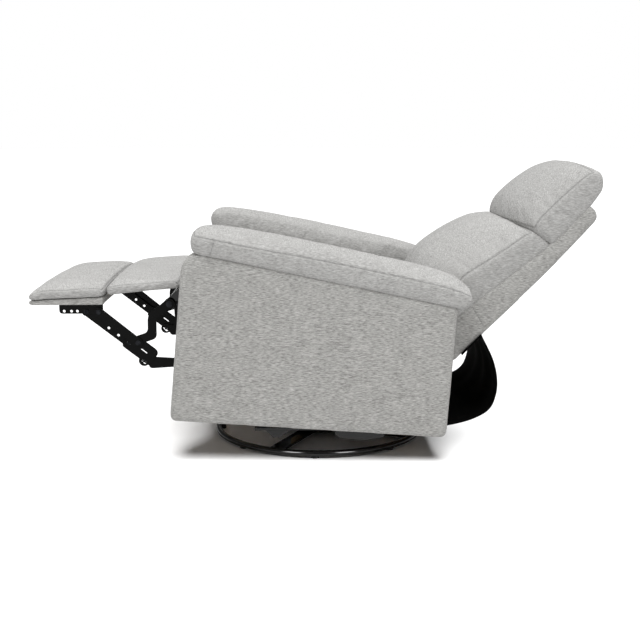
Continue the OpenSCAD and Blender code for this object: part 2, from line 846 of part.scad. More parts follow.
// Corners of the back cushion where it lies on the shell's front seam
function on_shell(u, cut) = [u, shell_seam(u) + seat_gap, cut];
back_low_share = -0.19;
fit_round = 2;
low_round = 10;
back_seat_corners = [
    on_shell(crease_h, fit_round), on_shell(0, fit_round), on_shell(back_low_share * crease_h, low_round)
];

module back_cushion() {
    cut = back_crown / 9;
    side = rounded(concat(sized(back_side_shares, crease_h, back_crown, cut), back_seat_corners), 3);
    mid = rounded(concat(sized(back_mid_shares, crease_h, back_crown, cut), back_seat_corners), 3);
    color(light_fabric) back_frame()
        crowned(side, mid, back_w / 2, back_w / 20, 2.6);
}

// Headrest corners: share of the height over the crease, share of the crown, share of the rounding
headrest_side_shares = [
    [0.02, 0.46, 0.8], [0.17, 0.52, 1.2], [0.5, 0.52, 1.2], [0.82, 0.47, 1.2],
    [0.93, 0.43, 0.8], [0.97, 0.38, 0.6], [0.93, 0.31, 0.6], [0.8, 0.26, 0.6]
];
headrest_mid_shares = [
    [0.002, 0.6, 0.8], [0.17, 0.69, 1.2], [0.5, 0.69, 1.2], [0.84, 0.56, 1.2], [0.975, 0.54, 0.8],
    [1.03, 0.37, 0.8], [1, 0.17, 0.8], [0.86, 0.143, 0.6]
];

// Corners of the headrest where it lies on the shell, over the crease
headrest_seat_shares = [0.6, 0.12, 0.002];
headrest_seat_corners = [
    for (s = headrest_seat_shares)
        let (c = on_shell(crease_h + s * (headrest_top - crease_h), fit_round))
        [c[0] - crease_h, c[1], c[2]]
];

module headrest_pillow() {
    l = headrest_top - crease_h;
    cut = back_crown / 9;
    side = rounded(concat(sized(headrest_side_shares, l, back_crown, cut), headrest_seat_corners), 2);
    mid = rounded(concat(sized(headrest_mid_shares, l, back_crown, cut), headrest_seat_corners), 2);
    color(light_fabric) back_frame() translate([0, crease_h, 0])
        crowned(side, mid, back_w / 2, back_w / 20, 2.6);
}

// Seat carriage

plate_w = 24;
plate_arm_w = 20;
nose_step = [-36, -27];
ear_step = [0, -11.9];
plate_nose = p_drive + nose_step;
plate_ear = p_flap + ear_step;

// A side point of the seat deck, back from its front rail and up from its top
function on_deck(v, n) = [
    -seat_rail_y + v * cos(deck_slope) + n * sin(deck_slope),
    seat_rail_z - v * sin(deck_slope) + n * cos(deck_slope)
];
rail_half = board_t;
plate_deep = 56;

module seat_side_plates() {
    color(steel) link_pair(0) difference() {
        union() {
            strap(plate_nose, plate_ear, plate_arm_w);
            strap(p_drive, plate_ear, plate_arm_w * 0.96);
            strap(p_drive, p_lower, plate_w * 1.1);
            polygon([
                plate_ear + [0, -plate_w / 2],
                on_deck(rail_half, -seat_gap),
                on_deck(deck_l + rail_half, -seat_gap),
                on_deck(deck_l + rail_half, -plate_deep),
                on_deck(0, -plate_deep),
                p_lower + [0, -plate_w / 2]
            ]);
            translate([roller_rear_y, track_z]) circle(d = plate_w, $fn = fine);
        }
        hole(p_drive, torque_d + 2 * rivet_gap);
        hole(p_lower, rivet_d + 2 * rivet_gap);
        for (y = [roller_front_y, roller_rear_y]) hole([y, track_z], rivet_d + 2 * rivet_gap);
    }
}

module seat_rail(v) {
    half = link_x - seat_gap;
    deck_frame() translate([-half, v - rail_half, -plate_deep * 0.7])
        cube([2 * half, 2 * rail_half, plate_deep * 0.7]);
}

module seat_front_rail() { color(wood) seat_rail(0); }
module seat_rear_rail() { color(wood) seat_rail(deck_l); }

// Apron that closes the gap under the back's lower edge
apron_root = 14;
apron_tip = 3;

module seat_apron() {
    top = on_deck(deck_l + rail_half + seat_gap, 0);
    low = on_deck(deck_l + rail_half + seat_gap, -apron_root);
    tip = top + [apron_run, -apron_drop];
    color(black_cloth) across(2 * (link_x - seat_gap))
        polygon([top, tip, tip - [apron_tip, apron_tip], low]);
}

spring_bar = 4;
spring_pitch = 30;
spring_w = 56;

// Flat zigzag wire along the deck, from bars joined at alternate ends
module zigzag(l) {
    count = floor(l / spring_pitch);
    for (k = [0:count]) {
        translate([-spring_w / 2, k * l / count - spring_bar / 2, 0])
            cube([spring_w, spring_bar, spring_bar]);
        if (k < count)
            translate([k % 2 == 0 ? -spring_w / 2 : spring_w / 2 - spring_bar, k * l / count, 0])
                cube([spring_bar, l / count, spring_bar]);
    }
}

module seat_springs() {
    pitch = 2 * (link_x - spring_w) / seat_spring_count;
    color("#8a8c90") deck_frame() for (k = [0:seat_spring_count - 1])
        translate([(k - (seat_spring_count - 1) / 2) * pitch, 0, seat_gap]) zigzag(deck_l);
}

// Seat cushion corners: share of its length, share of its front height, share of the rounding
seat_side_shares = [
    [0, 0.3, 0.6], [0, 0.9, 1.2], [0.12, 0.97, 1], [0.35, 0.78, 2], [0.63, 0.13, 2],
    [0.83, -0.45, 2], [1, -0.8, 0.6], [1, -0.95, 0.3], [0.45, -0.36, 0.6], [0.3, 0.07, 0.6]
];
seat_mid_shares = [
    [0, 0.15, 0.6], [0, 0.92, 1.2], [0.12, 1.04, 2], [0.35, 0.86, 2], [0.63, 0.22, 2],
    [0.83, -0.36, 2], [1, -0.88, 1], [1, -1.395, 0.3], [0.45, -0.544, 0.6], [0.3, -0.31, 0.6]
];

module seat_cushion() {
    cut = seat_t / 3;
    side = rounded(sized(seat_side_shares, seat_l, seat_t, cut), 2);
    mid = rounded(sized(seat_mid_shares, seat_l, seat_t, cut), 2);
    color(light_fabric) translate([0, -seat_front, seat_rail_z])
        crowned(side, mid, seat_w / 2, seat_w / 30, 2.2);
}

module seat_rollers() {
    plate_out = link_x + link_t;
    color(steel) both() for (y = [roller_front_y, roller_rear_y]) {
        pin([y, track_z], link_x, track_x - link_x + roller_reach - seat_gap, rivet_d);
        pin([y, track_z], track_x, roller_reach - seat_gap, roller_d);
        pin([y, track_z], plate_out + seat_gap, track_x - plate_out - 2 * seat_gap, roller_d);
    }
}

module flap_hinge_rod() {
    color(steel) pin(p_flap, -link_x + seat_gap, 2 * (link_x - seat_gap), flap_rod_d);
}

// Footrest linkage: one plane for each kind of link, from the seat plates outward
lower_plane = 1;
long_plane = 2;
drive_plane = 3;
short_plane = 4;
rivet_proud = 0.6 * link_gap;
rivet_head_t = 2;

// Rivet through two neighbouring planes
module rivet(p, first, last, head) {
    x = link_x + first * link_pitch - rivet_proud;
    end = link_x + last * link_pitch + link_t;
    both() {
        pin(p, x, end - x + seat_gap, rivet_d);
        if (head) pin(p, end + seat_gap, rivet_head_t, rivet_d * 1.6);
    }
}

module lower_link_rivets() {
    color("#3c3d40") rivet(p_lower, 0, lower_plane, false);
}

module torque_tube() {
    half = link_x + drive_plane * link_pitch - seat_gap;
    color(steel) rotate([0, 90, 0]) translate([-p_drive[1], p_drive[0], -half]) difference() {
        cylinder(d = torque_d, h = 2 * half, $fn = fine);
        translate([0, 0, -over]) cylinder(d = torque_bore, h = 2 * half + 2 * over, $fn = fine);
    }
}

link_eye = link_w * 1.27;
shin_step = [-44, -36];
boss_step = [-38, -26];
foot_rise = 20;
drive_shin = p_drive + shin_step;
drive_foot = [drive_shin[0], knee_z + foot_rise];

module drive_links() {
    boss = p_drive + boss_step;
    color(steel) link_pair(drive_plane) difference() {
        union() {
            crank([p_knee, drive_foot, drive_shin, boss, p_drive], link_w);
            strap(p_knee, p_short, link_w * 0.96);
            hole(p_drive, link_eye);
        }
        hole(p_knee, rivet_d + 2 * rivet_gap);
        hole(p_short, rivet_d + 2 * rivet_gap);
    }
}

module drive_link_rivets() {
    color("#3c3d40") {
        rivet(p_knee, long_plane, drive_plane, false);
        rivet(p_short, drive_plane, short_plane, true);
        both() pin(p_drive, link_x + drive_plane * link_pitch + link_t + seat_gap,
            rivet_head_t, torque_d * 0.8);
    }
}

tail_w = 45;
tail_end = 16;
tail_slot_w = 3;
spare_hole_d = 7;

// A point of the long link, along it from the knee and up across it
function on_long(s, n) =
    let (a = turn_of(p_toe, p_knee))
    p_knee + [s * cos(a) - n * sin(a), s * sin(a) + n * cos(a)];

module long_links() {
    along = gap_of(p_knee, p_tail);
    tail_low = -link_w * 0.75;
    corners = [
        [-link_w / 2, tail_low, link_w * 0.36], [along + tail_end, tail_low, link_w * 0.55],
        [along + tail_end, tail_low + tail_w, link_w * 0.64], [link_w, tail_low + tail_w, link_w * 0.45],
        [-link_w / 2, link_w / 2, link_w * 0.18]
    ];
    color(steel) link_pair(long_plane) difference() {
        union() {
            strap(p_toe, p_knee, link_w);
            polygon([for (c = rounded(corners, 4)) on_long(c[0], c[1])]);
        }
        hole(p_knee, rivet_d + 2 * rivet_gap);
        hole(p_tail, rivet_d + 2 * rivet_gap);
        hole(p_toe, rivet_d + 2 * rivet_gap);
        for (k = [0.33, 0.56]) hole(on_long(-k * gap_of(p_toe, p_knee) + link_w / 2, 0), spare_hole_d);
        strap(
            on_long(link_w * 1.6, link_w * 0.3), on_long(along - link_w * 0.4, link_w * 0.3),
            tail_slot_w
        );
    }
}

module long_link_rivets() {
    color("#3c3d40") {
        rivet(p_tail, lower_plane, long_plane, false);
        rivet(p_toe, long_plane, drive_plane, true);
    }
}

module short_links() {
    color(steel) link_pair(short_plane) difference() {
        strap(p_short, p_heel, link_w);
        hole(p_short, rivet_d + 2 * rivet_gap);
        hole(p_heel, rivet_d + 4 * rivet_gap);
    }
}

// The tail rivet drifts in the lower link, so its hole is a short slot
slot_from = [-2.4, 1.5];
slot_to = [1.9, -3.6];
elbow_drop = 147;
elbow_shift = 6;

module lower_links() {
    elbow = p_lower + [elbow_shift, -elbow_drop];
    color(steel) link_pair(lower_plane) difference() {
        union() {
            crank([p_lower, elbow, p_tail], link_w);
            hole(p_tail, link_eye);
            strap(elbow + [-link_w, 0], p_tail + [link_w, -link_w * 0.4], link_w);
        }
        hole(p_lower, rivet_d + 2 * rivet_gap);
        strap(p_tail + slot_from, p_tail + slot_to, rivet_d + 8 * rivet_gap);
    }
}

// Footrest on its brackets

flange_front = 67;
flange_rear = 42;
flange_h = 26;

module footrest_brackets() {
    flange_top = footrest_z - seat_gap;
    face_x = link_x + drive_plane * link_pitch;
    corners = [
        [p_toe[0] - flange_front, flange_top - link_t / 2, link_t / 3],
        [p_toe[0] + flange_rear, flange_top - link_t / 2, link_t / 3],
        [p_toe[0] + flange_rear, flange_top - flange_h, link_t * 3],
        [p_toe[0] - flange_front, flange_top - flange_h, link_t * 3]
    ];
    color(steel) both() {
        slab(face_x, link_t) difference() {
            union() {
                polygon(rounded(corners, 4));
                hole(p_toe, link_w);
                hole(p_heel, link_w);
            }
            hole(p_toe, rivet_d + 2 * rivet_gap);
            hole(p_heel, rivet_d + 2 * rivet_gap);
            for (k = [0.33, 0.55, 0.82]) hole(p_toe + [-k * flange_front, link_t / 2], spare_hole_d);
        }
        translate([face_x - link_w, p_toe[0] - flange_front, flange_top - link_t])
            cube([link_w + link_t, flange_front + flange_rear, link_t]);
    }
}

module footrest_rivets() {
    color("#3c3d40") rivet(p_heel, drive_plane, short_plane, true);
}

// Footrest corners: share of its length ahead of the board's rear edge, share of its height
board_shares = [[0, 0.01, 0.1], [-0.97, 0, 0.2], [-1, 0.1, 0.3], [-0.97, 0.17, 0.2], [0, 0.3, 0.1]];
foot_side_shares = [
    [0.02, 0.37, 0.3], [0.02, 0.84, 0.6], [-0.6, 0.72, 1.6], [-0.86, 0.6, 1.2], [-0.945, 0.4, 0.6],
    [-0.93, 0.24, 0.3]
];
foot_mid_shares = [
    [0.025, 0.304, 0.3], [0.025, 1, 0.6], [-0.6, 0.92, 1.6], [-0.86, 0.8, 1.2], [-0.97, 0.45, 0.8],
    [-0.965, 0.171, 0.3]
];

module footrest_board() {
    color(gray_fabric) translate([0, -footrest_y, footrest_z])
        across(footrest_w * 0.98)
            polygon(rounded(sized(board_shares, footrest_l, footrest_h, footrest_h / 3), 3));
}

module footrest_pad() {
    cut = footrest_h / 3;
    side = rounded(sized(foot_side_shares, footrest_l, footrest_h, cut), 3);
    mid = rounded(sized(foot_mid_shares, footrest_l, footrest_h, cut), 3);
    color(light_fabric) translate([0, -footrest_y, footrest_z + seat_gap])
        crowned(side, mid, footrest_w / 2, footrest_w / 24, 3);
}

// Flap corners: share of its length ahead of the hinge, share of its crown height
flap_side_shares = [
    [0.02, 0.12, 0.3], [-0.015, 0.8, 0.8], [-0.4, 0.7, 1.4], [-0.97, 0.4, 0.6], [-0.985, -0.33, 0.3],
    [-0.4, -0.06, 0.6]
];
flap_mid_shares = [
    [0.018, 0.09, 0.3], [-0.02, 0.98, 0.8], [-0.4, 0.94, 1.4], [-0.985, 0.66, 0.5],
    [-1, -0.36, 0.3], [-0.4, -0.08, 0.6]
];

module flap_pad() {
    cut = flap_h / 2;
    side = rounded(sized(flap_side_shares, flap_l, flap_h, cut), 3);
    mid = rounded(sized(flap_mid_shares, flap_l, flap_h, cut), 3);
    color(light_fabric) translate([0, p_flap[0], p_flap[1]])
        crowned(side, mid, footrest_w / 2, footrest_w / 24, 3);
}

base_ring();
base_cross();
floor_feet();
swivel_spindle();
spindle_nut();
swivel_bearing();
swivel_plate();
rocker_front_bar();
rocker_rear_bar();
rocker_rails();
fulcrum_pads();
rock_stops();
rocker_springs();
rocker_cams();
body_side_rails();
body_front_board();
body_rear_board();
arm_panel_left();
arm_panel_right();
arm_pad_left();
arm_pad_right();
back_pivot_brackets();
seat_tracks();
rear_dust_cloth();
back_shell();
back_side_stiles();
back_cross_rails();
back_webbing();
back_hinge_plates();
back_cushion();
headrest_pillow();
seat_side_plates();
seat_front_rail();
seat_rear_rail();
seat_springs();
seat_cushion();
seat_apron();
seat_rollers();
flap_hinge_rod();
lower_link_rivets();
torque_tube();
drive_links();
drive_link_rivets();
long_links();
long_link_rivets();
short_links();
lower_links();
footrest_brackets();
footrest_rivets();
footrest_board();
footrest_pad();
flap_pad();
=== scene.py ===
"""Looks of a swivel rocker recliner in gray woven fabric, its back reclined and its footrest out."""

import json
import math

import bmesh
import bpy
import numpy as np
from mathutils import Euler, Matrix, Vector, kdtree, noise
from mathutils.bvhtree import BVHTree

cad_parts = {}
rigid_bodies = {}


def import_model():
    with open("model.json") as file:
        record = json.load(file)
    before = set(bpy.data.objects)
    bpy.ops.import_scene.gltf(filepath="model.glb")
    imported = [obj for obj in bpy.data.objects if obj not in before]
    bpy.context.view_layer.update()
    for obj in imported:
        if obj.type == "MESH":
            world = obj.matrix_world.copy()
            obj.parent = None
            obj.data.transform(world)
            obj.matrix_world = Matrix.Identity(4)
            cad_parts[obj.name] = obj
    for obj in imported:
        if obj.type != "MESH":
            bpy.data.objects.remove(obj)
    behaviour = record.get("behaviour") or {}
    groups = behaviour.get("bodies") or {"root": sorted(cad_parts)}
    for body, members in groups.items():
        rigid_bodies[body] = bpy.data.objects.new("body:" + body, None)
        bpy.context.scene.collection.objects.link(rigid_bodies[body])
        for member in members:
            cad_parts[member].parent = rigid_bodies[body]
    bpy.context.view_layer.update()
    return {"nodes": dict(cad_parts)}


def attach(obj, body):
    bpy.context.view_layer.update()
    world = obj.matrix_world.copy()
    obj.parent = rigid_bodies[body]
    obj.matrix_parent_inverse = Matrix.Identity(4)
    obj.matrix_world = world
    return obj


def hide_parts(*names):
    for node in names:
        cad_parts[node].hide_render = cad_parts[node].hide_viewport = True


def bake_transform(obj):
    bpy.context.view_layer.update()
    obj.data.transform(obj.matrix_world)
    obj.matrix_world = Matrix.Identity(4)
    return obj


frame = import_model()
scene = bpy.context.scene
nodes = frame["nodes"]

# The chair's own frames, in metres: the body leans on its rockers, the back lies at its slope

BODY_LEAN = math.radians(4.3)
ROCK_AXIS_Z = 0.076
BACK_FOOT = (0.403, 0.312)
BACK_SLOPE = math.radians(47)
BACK_COS, BACK_SIN = math.cos(BACK_SLOPE), math.sin(BACK_SLOPE)
BACK_FRONT = np.array((0, -BACK_SIN, BACK_COS))
BACK_UP = np.array((0, BACK_COS, BACK_SIN))
ARM_SEAM_FRONT = (-0.364, 0.5124)
ARM_FALL = math.tan(math.radians(7.6))
PANEL_IN, PANEL_OUT = 0.272, 0.352
PAD_IN, PAD_OUT = 0.245, 0.357
BACK_HALF = 0.240
SEAT_HALF = 0.250
FOOT_HALF = 0.262


def leaned(y, z):
    """A point of the level body, once the body leans back."""
    c, s, h = math.cos(BODY_LEAN), math.sin(BODY_LEAN), z - ROCK_AXIS_Z
    return y * c + h * s, ROCK_AXIS_Z - y * s + h * c


def arm_seam(y):
    """Height of the arm's seam line on the level body, where it falls toward the rear."""
    return ARM_SEAM_FRONT[1] - (y - ARM_SEAM_FRONT[0]) * ARM_FALL


def on_arm(y, h):
    """A point over the arm's seam line."""
    return leaned(y, arm_seam(y) + h)


def on_back(u, n):
    """A point of the back, up from its foot line and out from its rear face."""
    return BACK_FOOT[0] + u * BACK_COS - n * BACK_SIN, BACK_FOOT[1] + u * BACK_SIN + n * BACK_COS


def in_back(y, z):
    """How far a point is up from the back's foot line, and out from its rear face."""
    dy, dz = y - BACK_FOOT[0], z - BACK_FOOT[1]
    return dy * BACK_COS + dz * BACK_SIN, -dy * BACK_SIN + dz * BACK_COS


def shifted(y0, z0):
    """A way to place an outline that only moves it."""
    return lambda y, z: (y0 + y, z0 + z)


on_seat = shifted(-0.343, 0.404)
on_foot = shifted(-0.540, 0.392)
on_flap = shifted(-0.352, 0.4274)


# Camera at the photograph's place, to the sitter's left and a little above

camera = bpy.data.objects.new("camera", bpy.data.cameras.new("camera"))
camera.location = (2.9028, -0.0491, 0.8235)
camera.rotation_euler = Euler((math.radians(90 - 10.101), 0, math.radians(90 - 1.033)))
camera.data.sensor_width = 36
camera.data.lens = 60.75
camera.data.clip_end = 50
scene.collection.objects.link(camera)
scene.camera = camera


# Materials

def linear(hex_colour):
    """An sRGB hex colour as linear RGBA."""
    parts = [int(hex_colour[i:i + 2], 16) / 255 for i in (1, 3, 5)]
    return [p / 12.92 if p <= 0.04045 else ((p + 0.055) / 1.055) ** 2.4 for p in parts] + [1]


def add(material, kind, inputs=None, stops=None, **settings):
    """Adds a node with its settings, its inputs as values or as sockets to link, and a ramp's stops."""
    tree = material.node_tree
    node = tree.nodes.new(kind)
    for name, value in settings.items():
        setattr(node, name, value)
    for key, value in (inputs or {}).items():
        if isinstance(value, bpy.types.NodeSocket):
            tree.links.new(value, node.inputs[key])
        else:
            node.inputs[key].default_value = value
    if stops:
        ends = node.color_ramp.elements
        while len(ends) < len(stops):
            ends.new(0.5)
        for end, (place, colour) in zip(ends, stops):
            end.position, end.color = place, linear(colour)
    return node


def new_material(name, **shader_values):
    """A material with a Principled shader, and its Object coordinates."""
    material = bpy.data.materials.new(name)
    material.use_nodes = True
    material.node_tree.nodes.clear()
    shader = add(material, "ShaderNodeBsdfPrincipled", shader_values)
    add(material, "ShaderNodeOutputMaterial", {0: shader.outputs[0]})
    place = add(material, "ShaderNodeTexCoord").outputs["Object"]
    return material, shader, place


def streaks(material, place, x, y, z, detail=2.0, rough=0.5):
    """Noise drawn out along an axis, from its grain in metres along x, y and z."""
    scaled = add(material, "ShaderNodeMapping", {0: place, 3: (1 / x, 1 / y, 1 / z)}, vector_type="POINT")
    return add(material, "ShaderNodeTexNoise", {"Vector": scaled.outputs[0], "Scale": 1.0,
               "Detail": detail, "Roughness": rough}).outputs[0]


def surface(material, shader, colour, height, depth, strength):
    """Gives a shader its colour, and its relief from a height of a given depth in metres."""
    relief = add(material, "ShaderNodeBump", {"Height": height, "Distance": depth, "Strength": strength})
    material.node_tree.links.new(colour, shader.inputs["Base Color"])
    material.node_tree.links.new(relief.outputs[0], shader.inputs["Normal"])


def woven_melange(name, dark, body, light, contrast):
    """Melange upholstery weave: dyed and pale yarns mixed, matte, with a soft fuzz at its edges."""
    material, shader, place = new_material(name, Roughness=0.92)
    shader.inputs["Specular IOR Level"].default_value = 0.22
    shader.inputs["Sheen Weight"].default_value = 0.12
    shader.inputs["Sheen Roughness"].default_value = 0.6
    # Upright faces show yarns that run along the chair, top faces yarns that run across it.
    normal = add(material, "ShaderNodeTexCoord").outputs["Normal"]
    across = add(material, "ShaderNodeSeparateXYZ", {0: normal}).outputs[0]
    upright = add(material, "ShaderNodeMath", {0: across}, operation="ABSOLUTE").outputs[0]
    upright = add(material, "ShaderNodeMapRange", {0: upright, 1: 0.55, 2: 0.85},
                  interpolation_type="SMOOTHSTEP").outputs[0]
    # The yarns are about 1.2 mm thick; the flecks are drawn about 1.5 mm by 11 mm, so that they show.
    along = streaks(material, place, 0.0016, 0.0110, 0.0014, 3.0, 0.66)
    over = streaks(material, place, 0.0090, 0.0016, 0.0026, 3.0, 0.66)
    fleck = add(material, "ShaderNodeMix", {0: upright, 2: over, 3: along}, data_type="FLOAT").outputs[0]
    patch = streaks(material, place, 0.030, 0.045, 0.030, 2.0, 0.5)
    blend = add(material, "ShaderNodeMath", {0: patch, 1: 0.10, 2: fleck},
                operation="MULTIPLY_ADD").outputs[0]
    middle, spread = 0.55, 0.17 / contrast
    colour = add(material, "ShaderNodeValToRGB", {0: blend},
                 [(middle - spread, dark), (middle, body), (middle + spread, light)]).outputs[0]
    # Seams are darkened with painted shade, standing for the shade in their grooves: the seam attribute is
    # 1 at a seam and 0 away from it.
    seam = add(material, "ShaderNodeAttribute", attribute_name="seam").outputs["Fac"]
    painted_shade = add(material, "ShaderNodeMapRange", {0: seam, 3: 1.0, 4: 0.60}).outputs[0]
    colour_with_painted_shade = add(material, "ShaderNodeVectorMath", {0: colour, 3: painted_shade}, operation="SCALE").outputs[0]
    # Yarns that stand 0.35 mm high, drawn as 0.6 mm so that they show, crossed by a finer thread.
    thread = streaks(material, place, 0.0012, 0.0012, 0.0012, 1.0, 0.5)
    height = add(material, "ShaderNodeMath", {0: thread, 1: 0.6, 2: fleck},
                 operation="MULTIPLY_ADD").outputs[0]
    surface(material, shader, colour_with_painted_shade, height, 0.0011, 0.55)
    return material


def coated_steel(name, coat, rough, worn, shine):
    """Steel under baked black powder paint: half gloss, with a fine orange peel and rubbed spots."""
    material, shader, place = new_material(name, Roughness=rough)
    shader.inputs["Specular IOR Level"].default_value = shine
    rub = streaks(material, place, 0.018, 0.018, 0.018, 4.0, 0.65)
    peel = streaks(material, place, 0.0018, 0.0018, 0.0018, 1.0)
    colour = add(material, "ShaderNodeValToRGB", {0: rub},
                 [(0.35, coat), (0.68, coat), (0.78, worn)]).outputs[0]
    surface(material, shader, colour, peel, 0.0001, 0.5)
    return material


def bare_steel(name, dark, light, rough):
    """Zinc plated or drawn steel: metallic, with faint drawing lines and cloudy plating."""
    material, shader, place = new_material(name, Roughness=rough, Metallic=1.0)
    cloud = streaks(material, place, 0.004, 0.012, 0.012, 3.0)
    lines = streaks(material, place, 0.0006, 0.006, 0.006, 1.0)
    colour = add(material, "ShaderNodeValToRGB", {0: cloud}, [(0.3, dark), (0.7, light)]).outputs[0]
    surface(material, shader, colour, lines, 0.00006, 0.5)
    return material


def rubber(name):
    """Moulded black rubber: dull, with a grainy skin."""
    material, shader, place = new_material(name, Roughness=0.82)
    skin = streaks(material, place, 0.0009, 0.0009, 0.0009, 2.0)
    colour = add(material, "ShaderNodeValToRGB", {0: skin},
                 [(0.3, "#1a1a1a"), (0.7, "#272727")]).outputs[0]
    surface(material, shader, colour, skin, 0.0002, 0.6)
    return material


def sawn_pine(name):
    """Kiln dried softwood rails: pale bands along the grain, a few darker pores, planed and unfinished."""
    material, shader, place = new_material(name, Roughness=0.62)
    bands = streaks(material, place, 0.006, 0.11, 0.006, 3.0, 0.6)
    pores = streaks(material, place, 0.0009, 0.014, 0.0009, 1.0)
    grain = add(material, "ShaderNodeMath", {0: pores, 1: 0.25, 2: bands},
                operation="MULTIPLY_ADD").outputs[0]
    colour = add(material, "ShaderNodeValToRGB", {0: grain},
                 [(0.42, "#a9814f"), (0.6, "#cba677"), (0.78, "#dcbd92")]).outputs[0]
    surface(material, shader, colour, grain, 0.0003, 0.5)
    return material


def black_cambric(name):
    """Black nonwoven dust cloth: matte felted fibres pressed with small dimples 1.6 mm apart."""
    material, shader, place = new_material(name, Roughness=0.95)
    shader.inputs["Specular IOR Level"].default_value = 0.08
    fibre = streaks(material, place, 0.0012, 0.0012, 0.0012, 3.0, 0.7)
    dimple = add(material, "ShaderNodeTexVoronoi", {"Vector": place, "Scale": 1 / 0.0016}).outputs[0]
    colour = add(material, "ShaderNodeValToRGB", {0: fibre},
                 [(0.35, "#030303"), (0.75, "#0a0a0a")]).outputs[0]
    surface(material, shader, colour, dimple, 0.0002, 0.5)
    return material


def elastic_webbing(name):
    """Woven rubber-cored webbing: dark cords with a paler stripe, ribbed every 2.5 mm."""
    material, shader, place = new_material(name, Roughness=0.85)
    fibre = streaks(material, place, 0.0025, 0.0009, 0.0009, 2.0)
    rib = add(material, "ShaderNodeTexWave",
              {"Vector": place, "Scale": 1 / 0.0025 / math.tau, "Distortion": 0.6},
              bands_direction="X").outputs["Fac"]
    colour = add(material, "ShaderNodeValToRGB", {0: fibre},
                 [(0.35, "#202022"), (0.6, "#35353a"), (0.8, "#55555c")]).outputs[0]
    surface(material, shader, colour, rib, 0.0004, 0.6)
    return material


def spun_thread(name):
    """Spun polyester sewing thread: a soft gloss, a little uneven in tone."""
    material, shader, place = new_material(name, Roughness=0.6)
    fibre = streaks(material, place, 0.0006, 0.0006, 0.0006)
    colour = add(material, "ShaderNodeValToRGB", {0: fibre}, [(0.3, "#8c8c89"), (0.7, "#b4b4b1")])
    material.node_tree.links.new(colour.outputs[0], shader.inputs["Base Color"])
    return material


upholstery = woven_melange("woven melange upholstery", "#868582", "#abaaa7", "#c9c8c5", 1.15)
cushion_cover = woven_melange("woven melange cushion cover", "#8f8e8c", "#afaeac", "#c9c9c7", 1.0)
sewing_thread = spun_thread("gray polyester sewing thread")
black_paint = coated_steel("black powder coated steel", "#040404", 0.12, "#0b0b0b", 0.6)
link_paint = coated_steel("black painted link steel", "#040403", 0.38, "#0f0f0c", 0.16)
rivet_steel = bare_steel("dark zinc rivet steel", "#1d1e20", "#3a3b3e", 0.42)
wire_steel = bare_steel("drawn spring wire", "#6f7175", "#9b9da1", 0.35)
bearing_steel = bare_steel("pressed bearing steel", "#4c4d50", "#77787c", 0.38)
foot_rubber = rubber("moulded black rubber")
frame_wood = sawn_pine("sawn pine")
dust_cloth = black_cambric("black nonwoven cambric")
webbing = elastic_webbing("elastic webbing")

FINISHES = {
    black_paint: ["base_ring", "base_cross", "swivel_spindle", "spindle_nut", "swivel_plate",
                  "rocker_front_bar", "rocker_rear_bar", "rocker_rails", "rocker_cams",
                  "back_pivot_brackets", "seat_tracks", "back_hinge_plates", "seat_side_plates",
                  "torque_tube", "flap_hinge_rod"],
    link_paint: ["drive_links", "long_links", "short_links", "lower_links", "footrest_brackets"],
    rivet_steel: ["drive_link_rivets", "long_link_rivets", "footrest_rivets", "lower_link_rivets",
                  "seat_rollers"],
    wire_steel: ["rocker_springs", "seat_springs"],
    bearing_steel: ["swivel_bearing"],
    foot_rubber: ["floor_feet", "fulcrum_pads", "rock_stops"],
    frame_wood: ["body_side_rails", "body_front_board", "body_rear_board", "back_side_stiles",
                 "back_cross_rails", "seat_front_rail", "seat_rear_rail"],
    webbing: ["back_webbing"],
}
for finish, names in FINISHES.items():
    for name in names:
        nodes[name].data.materials.clear()
        nodes[name].data.materials.append(finish)


# Building soft pieces: outlines, lofts, cloth under pressure, and seams

def through(points, steps):
    """A smooth line through points, with steps parts between two of them, without its last point."""
    p = [Vector(q) for q in points]
    p = [2 * p[0] - p[1]] + p + [2 * p[-1] - p[-2]]
    line = []
    for a, b, c, d in zip(p, p[1:], p[2:], p[3:]):
        for k in range(steps):
            t = k / steps
            line.append(0.5 * (2 * b + (c - a) * t + (2 * a - 5 * b + 4 * c - d) * t * t
                               + (3 * b - a - 3 * c + d) * t ** 3))
    return line


def ring_of(chains, steps):
    """A closed outline from smooth chains that meet at corners, each starting where the last one ends."""
    starts = [chain[0] for chain in chains[1:]] + [chains[0][0]]
    ring, marks = [], []
    for chain, start in zip(chains, starts):
        marks.append(len(ring))
        ring += through(list(chain) + [start], steps)
    return ring, marks


